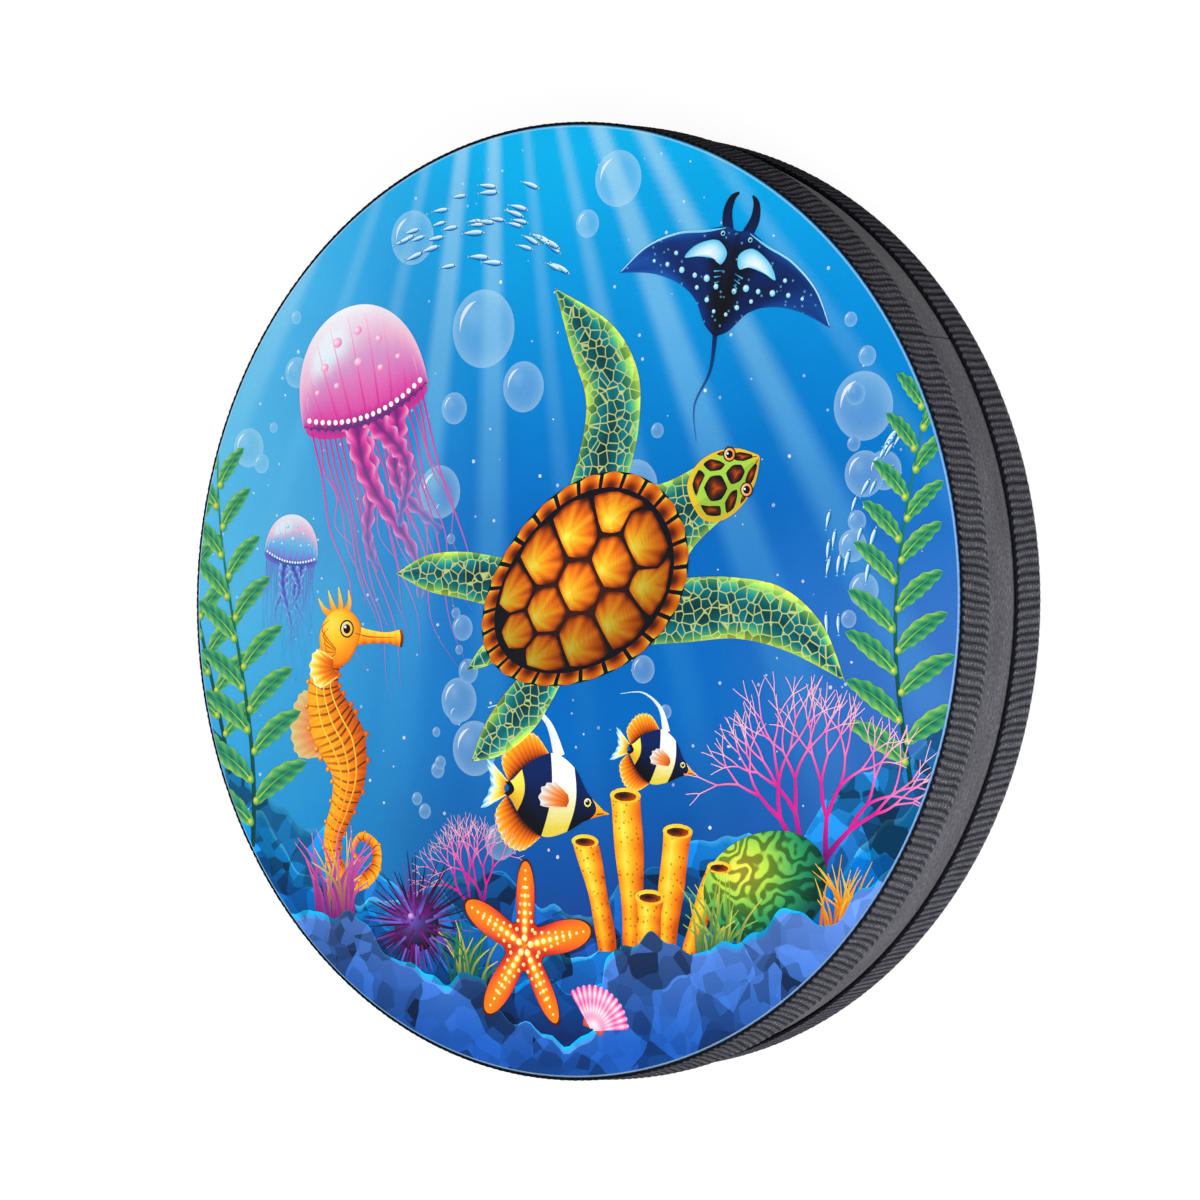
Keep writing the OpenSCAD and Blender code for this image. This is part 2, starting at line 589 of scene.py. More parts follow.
def grid_quads(rows: int, columns: int, close_rows: bool = False, close_columns: bool = False) -> Array:
    """Quads between neighbouring points of a grid stored row by row.

    Args:
        rows, columns: the grid's size.
        close_rows: whether the last row joins the first.
        close_columns: whether the last column joins the first.

    Returns:
        Four point numbers for each quad.
    """
    i = np.arange(rows if close_rows else rows - 1)[:, None]
    j = np.arange(columns if close_columns else columns - 1)[None, :]
    below, right = (i + 1) % rows, (j + 1) % columns
    ends = (i * columns + j, i * columns + right, below * columns + right, below * columns + j)
    return np.stack(np.broadcast_arrays(*ends), -1).reshape(-1, 4)


def turned(radius: Array, height: Array, angle: Array) -> Array:
    """Points at radii and heights, turned about the drum's axis by angles."""
    return np.stack(np.broadcast_arrays(radius * np.cos(angle), radius * np.sin(angle), height), -1)


def make_piece(
    name: str, points: Array, faces: Sequence[Sequence[int]], material: bpy.types.Material,
    paint: Array | None = None, relief: Array | None = None, flat_uv: Array | None = None, sharp: bool = False,
) -> bpy.types.Object:
    """Puts points and faces into a mesh piece that rides on the shell.

    Args:
        name: the piece's name.
        points: places in metres.
        faces: point numbers of each face.
        material: its finish.
        paint: a linear colour at each point.
        relief: a number at each point.
        flat_uv: a pair of texture coordinates at each point.
        sharp: whether each face is shaded flat.

    Returns:
        The new object.
    """
    mesh = bpy.data.meshes.new(name)
    mesh.from_pydata(points.tolist(), [], [list(face) for face in faces])
    mesh.polygons.foreach_set("use_smooth", np.full(len(mesh.polygons), not sharp))
    if paint is not None:
        colours = np.column_stack([paint, np.ones(len(points))])
        mesh.color_attributes.new("paint", "FLOAT_COLOR", "POINT").data.foreach_set("color", colours.ravel())
    if relief is not None:
        mesh.attributes.new("relief", "FLOAT", "POINT").data.foreach_set("value", relief.ravel())
    if flat_uv is not None:
        corner = np.empty(len(mesh.loops), int)
        mesh.loops.foreach_get("vertex_index", corner)
        mesh.uv_layers.new(name="UVMap").data.foreach_set("uv", flat_uv[corner].ravel())
    mesh.materials.append(material)
    mesh.validate()
    piece = bpy.data.objects.new(name, mesh)
    bpy.context.scene.collection.objects.link(piece)
    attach(piece, SHELL_BODY)
    LOG.info("%s: %d points, %d faces", name, len(mesh.vertices), len(mesh.polygons))
    return piece


@dataclass
class Webbing:
    """Ribbed webbing bonded round a rim, with its two ends butted together.

    Along the length, a rib is a rounded wave, a raised cosine to a power. Its depth and pace vary a little by slow
    sines. Across the width the warp yarns lift and drop in turn, and the thickness falls away at both long edges,
    where the grooves grow shallow and notch them.

    Attributes:
        collar_end: height where the head's collar ends beneath it.
        front: whether it is the front one, whose lower edge hooks its ribs and stands off.
        lean: the ribs' steady lean, and how much of it follows the sine of the angle.
        hook: how far the ribs bend over at the hooked edge, in ribs.
        proud: where the lower edge stands off most: by how much, at what angle, how widely.
        lip, tuck: how far the back face reaches past the collar, and where it starts.
        fullness, notch, edge: what shapes a rib, its notches and the long edges.
    """

    name: str
    ring: Ring
    collar_end: float
    joint_deg: float
    front: bool
    lean: tuple[float, float]
    hook: float
    proud: Points = ()
    stand_share: float = 0.3 * MM
    ribs: int = 376
    steps_per_rib: int = 6
    across: int = 34
    crowd: float = 0.9
    lip: float = 0.69 * MM
    groove: float = 0.42 * MM
    warp: float = 0.1 * MM
    warp_ends: float = 4.5
    joint: float = 0.6 * MM
    tuck: float = 0.2 * MM
    fullness: tuple[float, float] = (0.46, 0.14)
    notch: tuple[float, float] = (0.035, 0.02)
    edge: tuple[float, float] = (14, 0.42)
    # floor: relief of the painted shade, on the top edge's dark band and on the hidden back face.
    floor: float = -0.3

    def rows(self) -> Array:
        """Places across the width, from -1 to 1: a sine, so that they crowd towards the edges."""
        quarter = math.pi / 2 * self.crowd
        return np.sin(np.linspace(-1, 1, self.across)[None, :] * math.pi / 2 * self.crowd) / math.sin(quarter)

    def phase(self, along: Array, v: Array) -> Array:
        """Which part of which rib lies at each place.

        It is the place along, plus the bend near each long edge, less the lean, plus a drift: slow sines along, and a
        sine across that slow sines along switch on and off.

        Args:
            along: place along the webbing, in ribs.
            v: place across it, from -1 to 1.

        Returns:
            The place in ribs, whole at a crest.
        """
        hooked = -v if self.front else v
        bend = self.hook * np.clip((hooked - 0.5) / 0.5, 0, 1) ** 2.2 - 0.12 * np.clip((-hooked - 0.75) / 0.25, 0, 1)
        drift = 0.14 * np.sin(along * 0.83) * np.sin(along * 0.37 + 2)
        drift = drift + 0.08 * np.sin(2.9 * v + along * 0.51) * np.sin(along * 0.13)
        lean = self.lean[0] - self.lean[1] * np.sin(math.radians(self.joint_deg) + along / self.ribs * TURN)
        return along + bend - lean * v + drift

    def stand(self, angle: Array) -> Array:
        """How far the lower edge stands off the shell: a raised cosine plus bell curves about some angles.

        Args:
            angle: angles about the axis, in radians.

        Returns:
            The distance at each angle.
        """
        degrees = (np.degrees(angle) + 180) % 360 - 180
        off = self.stand_share * (1 + np.cos(angle)) * bool(self.proud)
        return off + sum(most * np.exp(-(((degrees - middle) / spread) ** 2)) for most, middle, spread in self.proud)

    def back(self) -> tuple[Array, Array]:
        """Works out the back face, whose lip fills the step from the collar's end down to the wrap.

        Returns:
            Its inset and height at six places, from the top edge to the bottom one.
        """
        way = -1 if self.front else 1
        step = (self.collar_end + way * np.array([1.3, 1.2, 0.1, 0.1]) * MM)[::way]
        inset = self.lip * np.array([0, 0, 1, 1, 0, 0])[::way]
        return inset, np.array([self.ring.top - self.tuck, *step, self.ring.bottom + self.tuck])

    def relief(self, ridge: Array, weave: Array, v: Array) -> Array:
        """How bright the yarn is: lighter on the ribs and towards the lower edge, with the weave, and painted shade in
        the grooves and in a thin dark band at the top edge.

        Args:
            ridge: height of the rib, 1 on its crest.
            weave: lift of the warp yarns, from -1 to 1.
            v: place across, from -1 to 1.

        Returns:
            The relief of the front face's places.
        """
        shade = smooth(0.9 if self.front else 0.87, 1.0, v + 0.16 * (1 - ridge))
        if self.front:
            shade = shade * (1 - 0.5 * ridge * smooth(1.0, 0.96, v))
        light = 0.1 + ridge * (0.86 * (0.8 + 0.2 * weave) + 0.18 * smooth(0.6, 0.9, -v))
        return light * (1 - shade) + self.floor * shade

    def build(self, material: bpy.types.Material) -> bpy.types.Object:
        """Carries the section round the drum: the ribbed face over the width, then the back face.

        Args:
            material: the finish.

        Returns:
            The webbing, in its node's place.
        """
        count = self.ribs * self.steps_per_rib
        along, v = np.linspace(0, self.ribs, count + 1)[:, None], self.rows()
        phase = self.phase(along, v)
        power = self.fullness[0] + self.fullness[1] * np.sin(along * 1.7)
        ridge = (0.5 + 0.5 * np.cos(TURN * phase)) ** power
        weave = np.cos(TURN * self.warp_ends * v) * np.cos(math.pi * phase)
        thick = self.ring.outer - self.ring.inner
        body = thick * (1 - np.abs(v) ** self.edge[0]) ** self.edge[1]
        groove = self.groove * (1 - ridge) * (1 - 0.8 * smooth(0.72, 0.98, np.abs(v)))
        height = body * (1 - (groove + self.warp * (0.5 - 0.5 * weave)) / thick)
        middle, half = (self.ring.top + self.ring.bottom) / 2, (self.ring.top - self.ring.bottom) / 2
        notch = self.notch[0] + self.notch[1] * np.sin(along * 2.3)
        z = middle + half * v * (1 - notch * (1 - ridge) * np.abs(v) ** 8)
        inset, back = self.back()
        gap = self.joint / self.ring.outer
        angle = math.radians(self.joint_deg) + gap / 2 + along / self.ribs * (TURN - gap)
        stand = self.stand(angle) * np.hstack([smooth(0.5, -0.9, v), [[0, 0, 0, 0, 0, 1]]])
        radius = np.hstack([self.ring.inner + height, np.repeat((self.ring.inner - inset)[None], count + 1, 0)])
        heights = np.hstack([z, np.repeat(back[None], count + 1, 0)])
        section = self.across + len(back)
        quads = grid_quads(count + 1, section, close_columns=True)[:, ::-1]
        ends = [list(range(section)), list(range(count * section, (count + 1) * section))[::-1]]
        # The back face takes the painted shade's darkest relief.
        relief = np.hstack([self.relief(ridge, weave, v), np.full((count + 1, len(back)), self.floor)])
        length = along / self.ribs * (TURN * self.ring.outer - self.joint)
        piece = make_piece(
            self.name, turned(radius + stand, heights, angle).reshape(-1, 3), [*quads.tolist(), *ends], material,
            relief=relief, flat_uv=np.stack(np.broadcast_arrays(length, heights), -1).reshape(-1, 2),
        )
        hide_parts(self.name)
        return piece


@dataclass
class PrintedHead:
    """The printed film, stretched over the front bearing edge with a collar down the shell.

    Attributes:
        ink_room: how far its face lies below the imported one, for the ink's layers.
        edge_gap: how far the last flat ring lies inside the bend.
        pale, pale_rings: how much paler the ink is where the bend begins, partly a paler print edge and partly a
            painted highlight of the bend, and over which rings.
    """

    ring: Ring
    film: float = 0.3 * MM
    bend: float = 1.0 * MM
    ink_room: float = 0.4 * MM
    edge_gap: float = 0.3 * MM
    turns: int = 640
    rings: int = 84
    bend_steps: int = 15
    pale: float = 0.4
    pale_rings: tuple[int, int] = (9, 1)

    @property
    def face(self) -> float:
        """Height of the film's printed face. The ink's layers lie between it and the top."""
        return self.ring.top - self.ink_room

    def arc(self, radius: float) -> Array:
        """A quarter circle about the bend's own centre.

        Args:
            radius: its radius.

        Returns:
            Radius and height round the bend.
        """
        turn = np.linspace(0, math.pi / 2, self.bend_steps)
        start, top = self.ring.outer - self.bend, self.face - (self.bend - radius)
        return np.stack([start + radius * np.sin(turn), top - radius * (1 - np.cos(turn))], 1)

    def profile(self) -> Array:
        """Works out the section: level to the bend, a quarter circle, straight down to the collar's end, and back up
        inside, one film's thickness away.

        Returns:
            Radii and heights, from the middle of the face to the middle of the inside.
        """
        flat = np.linspace(0, self.ring.outer - self.bend - self.edge_gap, self.rings)
        return np.vstack([
            np.stack([flat, np.full(len(flat), self.face)], 1),
            self.arc(self.bend),
            [[self.ring.outer, self.ring.bottom], [self.ring.outer - self.film, self.ring.bottom]],
            self.arc(self.bend - self.film)[::-1],
            [[0, self.face - self.film]],
        ])

    def build(self) -> bpy.types.Object:
        """Turns the profile round the axis, with one point at each pole, and prints the sea on it.

        Returns:
            The printed film, in its node's place.
        """
        profile = self.profile()
        rings = profile[1:-1]
        angle = np.linspace(0, TURN, self.turns, endpoint=False)[None, :]
        points = turned(rings[:, :1], rings[:, 1:], angle).reshape(-1, 3)
        quads = grid_quads(len(rings), self.turns, close_columns=True)[:, ::-1] + 1
        near = np.arange(self.turns)
        far = (near + 1) % self.turns
        start = 1 + (len(rings) - 1) * self.turns
        top = np.stack([0 * near, near + 1, far + 1], 1)
        under = np.stack([0 * near + len(points) + 1, far + start, near + start], 1)
        points = np.vstack([[[0, 0, profile[0, 1]]], points, [[0, 0, profile[-1, 1]]]])
        bend = (np.arange(len(points)) - 1) // self.turns - self.rings + 1
        # The pale band where the bend begins is partly the print's paler edge and partly a painted highlight of the
        # bend.
        pale = self.pale * (bend >= 0) * smooth(*self.pale_rings, bend)
        paint = over(sea(points[:, :2] / MM), FOAM.flat, pale)
        paint[bend >= self.bend_steps] = linear(BARE_FILM)
        faces = [*quads.tolist(), *top.tolist(), *under.tolist()]
        ink = PrintedInk().material()
        piece = make_piece("printed_front_head", points, faces, ink, paint=paint)
        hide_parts("front_head")
        return piece


@dataclass
class Hoop:
    """The shell's fibre hoop, whose crown stands clear of the drawn film."""

    ring: Ring
    clear: float = 0.42 * MM
    bevel: float = 2 * MM
    crown: float = 1.65 * MM
    turns: int = 360
    crown_steps: int = 7
    wall_steps: int = 12

    def build(self, material: bpy.types.Material) -> bpy.types.Object:
        """Turns the wall's section round the axis: rounded outside, bevelled inside, top and bottom.

        Args:
            material: the fibre.

        Returns:
            The hoop, in its node's place.
        """
        turn = np.linspace(0, math.pi / 2, self.crown_steps)
        inner, outer = self.ring.inner, self.ring.outer
        low, high = self.ring.bottom, self.ring.top - self.clear
        lower = np.stack([outer - self.crown * (1 - np.sin(turn)), low + self.crown * (1 - np.cos(turn))], 1)
        section = np.vstack([
            [[inner, low + self.bevel], [inner + self.bevel, low]],
            lower,
            (lower * (1, -1) + (0, low + high))[::-1],
            [[inner + self.bevel, high], [inner, high - self.bevel]],
        ])
        section = np.vstack([section, np.linspace(section[-1], section[0], self.wall_steps)[1:-1]])
        angle = np.linspace(0, TURN, self.turns, endpoint=False)[:, None]
        points = turned(section[:, 0], section[:, 1], angle).reshape(-1, 3)
        quads = grid_quads(self.turns, len(section), True, True)[:, ::-1]
        piece = make_piece("shell_hoop_fibre", points, quads, material, sharp=True)
        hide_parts("shell_hoop")
        return piece


def sea(place: Array) -> Array:
    """The water's colour at places on the print, in millimetres.

    A ramp down the height, waved by two sines, runs from bright cyan to navy, violet low on the right and paler
    towards the left. Shafts of light fan out from a point above: a product of cosines of the angle about it, fading
    with depth.

    Args:
        place: x and y in the last axis.

    Returns:
        Linear colours.
    """
    x, y = place[..., 0], place[..., 1]
    height = y / 200
    wave = 6 * np.sin(x / 37 + 1.3) + 4 * np.sin(x / 19 - y / 43)
    colour = tones((y + wave) / 200, (-1, NAVY), (-0.62, DEEP), (-0.25, BLUE), (0.15, BLUE), (0.55, AZURE), (1, CYAN))
    violet = tones(height, (-1, DEEP), (0, IRIS))
    colour = over(colour, violet, 0.75 * smooth(60, 215, x) * smooth(70, -70, y))
    paler = tones(height, (-0.9, AZURE), (0, SKY), (1, SKY))
    colour = over(colour, paler, 0.8 * smooth(-10, -200, x + 0.12 * y))
    angle = np.arctan2(x + 30, 330 - y)
    shafts = np.cos(29 * angle + 0.6) * np.cos(17 * angle - 0.4) + 0.6 * np.cos(47 * angle)
    light = np.clip(shafts, 0, 1.2) ** 1.5 * smooth(-150, 190, y)
    return over(colour, tones(height, (0, SKY), (1, FOAM)), 0.3 * light)


def curve(points: Points, count: int, closed: bool = False) -> Array:
    """A smooth curve: cubics whose slope at a point is half the step between its neighbours.

    Args:
        points: places, or any rows of numbers.
        count: how many places to return.
        closed: whether the curve joins its start, which then comes again at the end.

    Returns:
        The places, evenly spread over the stretches.
    """
    knots = np.asarray(points, float)
    before, after = (knots[-1:], knots[:2]) if closed else (knots[:1], knots[-1:])
    padded = np.vstack([before, knots, after])
    spans = len(padded) - 3
    t = np.linspace(0, spans, count)
    i = np.minimum(t.astype(int), spans - 1)
    f = (t - i)[:, None]
    a, b, c, d = (padded[i + k] for k in range(4))
    return b + 0.5 * f * (c - a + f * (2 * a - 5 * b + 4 * c - d + f * (3 * (b - c) + d - a)))


def rays(angle: Array | float) -> Array:
    """Unit vectors at angles."""
    return np.stack([np.cos(angle), np.sin(angle)], -1)


def ruled(start: Array, end: Array, rows: int) -> Grid:
    """A grid of straight lines from one curve to another.

    Args:
        start, end: as many places on each curve.
        rows: how many places on each line.

    Returns:
        The grid, each place's share along the curves and its share across.
    """
    across = np.linspace(0, 1, rows)[:, None]
    along = np.linspace(0, 1, len(start))[None, :]
    grid = start[None] * (1 - across[..., None]) + end[None] * across[..., None]
    return grid, np.broadcast_to(along, grid.shape[:2]), np.broadcast_to(across, grid.shape[:2])


def ribbon(spine: Array, width: Sequence[float] | Array, rows: int = 5) -> Grid:
    """A band about a curve: half its width to each side, square to the curve's slope.

    Args:
        spine: places on the curve.
        width: its widths, which a smooth curve runs through.
        rows: how many places across.

    Returns:
        What ruled() returns.
    """
    slope = np.gradient(spine, axis=0)
    side = np.stack([-slope[:, 1], slope[:, 0]], 1) / np.maximum(np.hypot(slope[:, 0], slope[:, 1]), TINY)[:, None]
    widths = np.asarray(width, float)[:, None]
    half = 0.5 * (widths if len(widths) == len(spine) else curve(widths, len(spine)))
    return ruled(spine - side * half, spine + side * half, rows)


def round_grid(steps: int) -> tuple[Array, Array]:
    """A square grid pressed into a disc: each side shrinks by the root of 1 less half the other's square."""
    a, b = np.meshgrid(*[np.linspace(-1, 1, steps)] * 2)
    return a * np.sqrt(1 - b * b / 2), b * np.sqrt(1 - a * a / 2)


def filled(outline: Array, steps: int, centre: Sequence[float] | None = None) -> Grid:
    """A grid that fills a closed outline from its centre.

    Args:
        outline: places round it, the last a repeat of the first.
        steps: places along each side of the grid.
        centre: where it is filled from, or None for its middle.

    Returns:
        The grid, each place's share of the way out, and its angle about the centre.
    """
    middle = outline[:-1].mean(0) if centre is None else np.asarray(centre, float)
    a, b = round_grid(steps)
    out, angle = np.hypot(a, b), np.arctan2(b, a)
    turn = (angle / TURN) % 1 * (len(outline) - 1)
    edge = np.stack([np.interp(turn, np.arange(len(outline)), outline[:, i]) for i in range(2)], -1)
    return middle + out[..., None] * (edge - middle), out, angle


def corners(points: Points, inset: float = 0.0, soft: float = 0.25, per_side: int = 8) -> Array:
    """A closed outline of straight sides with softened corners, drawn in towards its middle.

    Args:
        points: the corners.
        inset: share of the way to the middle.
        soft: share of a smooth curve through the straight sides.
        per_side: places on each side.

    Returns:
        The outline, the last place a repeat of the first.
    """
    knots = np.asarray(points, float)
    knots = knots + (knots.mean(0) - knots) * inset
    count = len(knots) * per_side + 1
    closed = np.vstack([knots, knots[:1]])
    place = np.linspace(0, len(knots), count)
    straight = np.stack([np.interp(place, np.arange(len(closed)), closed[:, i]) for i in range(2)], 1)
    middles = (knots + np.roll(knots, -1, 0)) / 2
    eased = np.roll(curve(middles, count, True)[:-1], per_side // 2, 0)
    return straight * (1 - soft) + np.vstack([eased, eased[:1]]) * soft


@dataclass
class Sketch:
    """Shapes of ink in one motif's own millimetres, stacked in thin layers into one piece.

    Attributes:
        at, turn, size: the motif's place on the print, its turn in degrees and its scale.
        lowest: steps between the film and its lowest layer.
        step: height of a layer, in millimetres.
        slab, spread: how thick a slab is, and how far slabs of one layer differ, in steps.
        laid: how many shapes all the sketches hold.
    """

    name: str
    at: tuple[float, float] = (0, 0)
    turn: float = 0
    size: float = 1
    lowest: int = 0
    pattern: Pattern = Pattern.PLAIN
    places: list[Array] = field(default_factory=list)
    paints: list[Array] = field(default_factory=list)
    quads: list[Array] = field(default_factory=list)
    count: int = 0

    reach: ClassVar[float] = 202.1
    step: ClassVar[float] = 0.018
    slab: ClassVar[float] = 0.8
    spread: ClassVar[float] = 0.85
    laid: ClassVar[int] = 0

    def on_print(self, grid: Array) -> Array:
        """Moves places from the motif's own millimetres to the print's."""
        x, y, (right, up) = grid[..., 0] * self.size, grid[..., 1] * self.size, rays(math.radians(self.turn))
        return np.stack([self.at[0] + x * right - y * up, self.at[1] + x * up + y * right], -1)

    def veil(self, grid: Array, paint: Array, amount: Array | float) -> Array:
        """A colour with the water showing through it, where amount is less than 1."""
        return over(sea(self.on_print(grid)), paint, amount)

    def lay(self, grid: Array, paint: Array, layer: int = 0) -> None:
        """Lays one shape of ink on its layer, cut off where the print ends.

        The shape is a thin slab: its grid above, the same grid below and a wall round the edges that only one quad
        uses. A place outside the print moves straight in to its edge. Shapes of one layer differ in height by the
        golden ratio's part of a step, so that no two are level.

        Args:
            grid: places in rows and columns.
            paint: a colour for each, or one for all.
            layer: steps above the motif's lowest.
        """
        place = self.on_print(grid)
        rows, columns = place.shape[:2]
        far = np.hypot(place[..., 0], place[..., 1]).ravel()
        flat = place.reshape(-1, 2) * np.minimum(1, self.reach / np.maximum(far, TINY))[:, None]
        quads = grid_quads(rows, columns)
        quads = quads[(far[quads] < self.reach).any(1)]
        if not len(quads):
            return
        ends = flat[quads]
        if (np.cross(ends[:, 2] - ends[:, 0], ends[:, 3] - ends[:, 1])).sum() < 0:
            quads = quads[:, ::-1]
        total = rows * columns
        edges = np.stack([quads, np.roll(quads, -1, 1)], -1).reshape(-1, 2)
        keys = np.sort(edges, 1) @ np.array([total, 1])
        _, first, uses = np.unique(keys, return_index=True, return_counts=True)
        rim = edges[first[uses == 1]]
        wall = np.stack([rim[:, 1], rim[:, 0], rim[:, 0] + total, rim[:, 1] + total], 1)
        Sketch.laid += 1
        top = (self.lowest + layer + 1 + self.spread * (Sketch.laid * GOLDEN % 1)) * self.step
        for height in (top, top - self.slab * self.step):
            self.places.append(np.column_stack([flat, np.full(total, height)]))
            self.paints.append(np.broadcast_to(paint, (rows, columns, 3)).reshape(-1, 3))
        self.quads.append(np.vstack([quads, quads[:, ::-1] + total, wall]) + self.count)
        self.count += 2 * total

    def disc(self, x: float, y: float, radius: float, paint: Array, layer: int, squash: float = 1) -> None:
        """Lays a square grid of colours as a disc, or as an oval squash times as high."""
        a, b = round_grid(len(paint))
        self.lay(np.stack([x + radius * a, y + radius * squash * b], -1), paint, layer)

    def dot(self, x: float, y: float, radius: float, ink: Ink, layer: int, steps: int = 7) -> None:
        """Lays a small disc of one ink."""
        self.disc(x, y, radius, np.broadcast_to(ink.flat, (steps, steps, 3)), layer)

    def glow(
        self, x: float, y: float, radius: float, layer: int, inner: Ink, outer: Ink, squash: float = 1,
        steps: int = 15,
    ) -> None:
        """Lays a disc shaded from an ink near its middle, a little up and left, to another at its edge."""
        a, b = round_grid(steps)
        self.disc(x, y, radius, tones(np.hypot(a + 0.25, b - 0.25) / 1.3, (0, inner), (1, outer)), layer, squash)

    def eye(self, x: float, y: float, radius: float, layer: int, ring: Ink = GOLD) -> None:
        """Lays an eye: a dark rim, a bright ring, the pupil and a glint.

        Args:
            x, y: its middle.
            radius: its rim's radius.
            layer: its lowest layer.
            ring: the ring's ink.
        """
        self.dot(x, y, radius, BLACK, layer, 11)
        self.glow(x, y, radius * 0.82, layer + 1, WHITE, ring, steps=11)
        self.dot(x, y, radius * 0.52, BLACK, layer + 2, 11)
        self.dot(x - 0.2 * radius, y + 0.24 * radius, radius * 0.16, WHITE, layer + 3)

    def strand(
        self, points: Points, width: Sequence[float], root: Ink, tip: Ink, layer: int, count: int = 14,
        fade: float = 0.0, rows: int = 3,
    ) -> None:
        """Lays a thin strand, shaded from its root to its tip.

        Args:
            points: where it runs.
            width: its widths along the way.
            root, tip: inks at its ends.
            layer: its layer.
            count, rows: places along and across it.
            fade: how far the water takes over at the tip.
        """
        grid, along, across = ribbon(curve(points, count), width, rows)
        paint = tones(along, (0, root), (1, tip)) * (1.12 - 0.24 * across[..., None])
        self.lay(grid, self.veil(grid, paint, 1 - fade * along**1.5), layer)

    def fin(
        self, root: Points, edge: Points, ribs: float, layer: int, *stops: tuple[float, Ink], solid: float = 1.0,
    ) -> None:
        """Lays a fin, ruled from its root to its outer edge, with rays that push the edge out a little.

        Args:
            root, edge: points along its root and round its outer edge.
            ribs: number of rays.
            layer: its layer.
            stops: inks from the root to the edge.
            solid: how little the water shows through its edge.
        """
        near, far = curve(root, 61), curve(edge, 61)
        ray = 0.5 + 0.5 * np.cos(TURN * ribs * np.linspace(0, 1, 61))
        grid, _, across = ruled(near, far + (far - near) * (0.07 * ray - 0.07)[:, None], 13)
        paint = tones(across + 0.22 * (1 - ray) * np.sqrt(across), *stops)
        self.lay(grid, self.veil(grid, paint, 1 - (1 - solid) * across), layer)

    def fill(self, outline: Array, steps: int, layer: int, *stops: tuple[float, Ink]) -> None:
        """Lays a filled outline, shaded from its middle to its edge."""
        grid, out, _ = filled(outline, steps)
        self.lay(grid, tones(out, *stops), layer)

    def make(self, face: float) -> bpy.types.Object:
        """Makes the piece.

        Args:
            face: height of the film's face, in metres.

        Returns:
            The piece.
        """
        points = np.vstack(self.places) * MM + (0, 0, face)
        ink, paint = PrintedInk(self.pattern).material(), np.vstack(self.paints)
        return make_piece("print_" + self.name, points, np.vstack(self.quads), ink, paint, sharp=True)


@dataclass
class Motif:
    """A motif's place on the print, in millimetres and degrees, its scale and its lowest layer."""

    at: tuple[float, float]
    turn: float
    size: float
    lowest: int

    def sketch(self, name: str, pattern: Pattern = Pattern.PLAIN) -> Sketch:
        """An empty sketch in the motif's place."""
        return Sketch(name, self.at, self.turn, self.size, self.lowest, pattern)


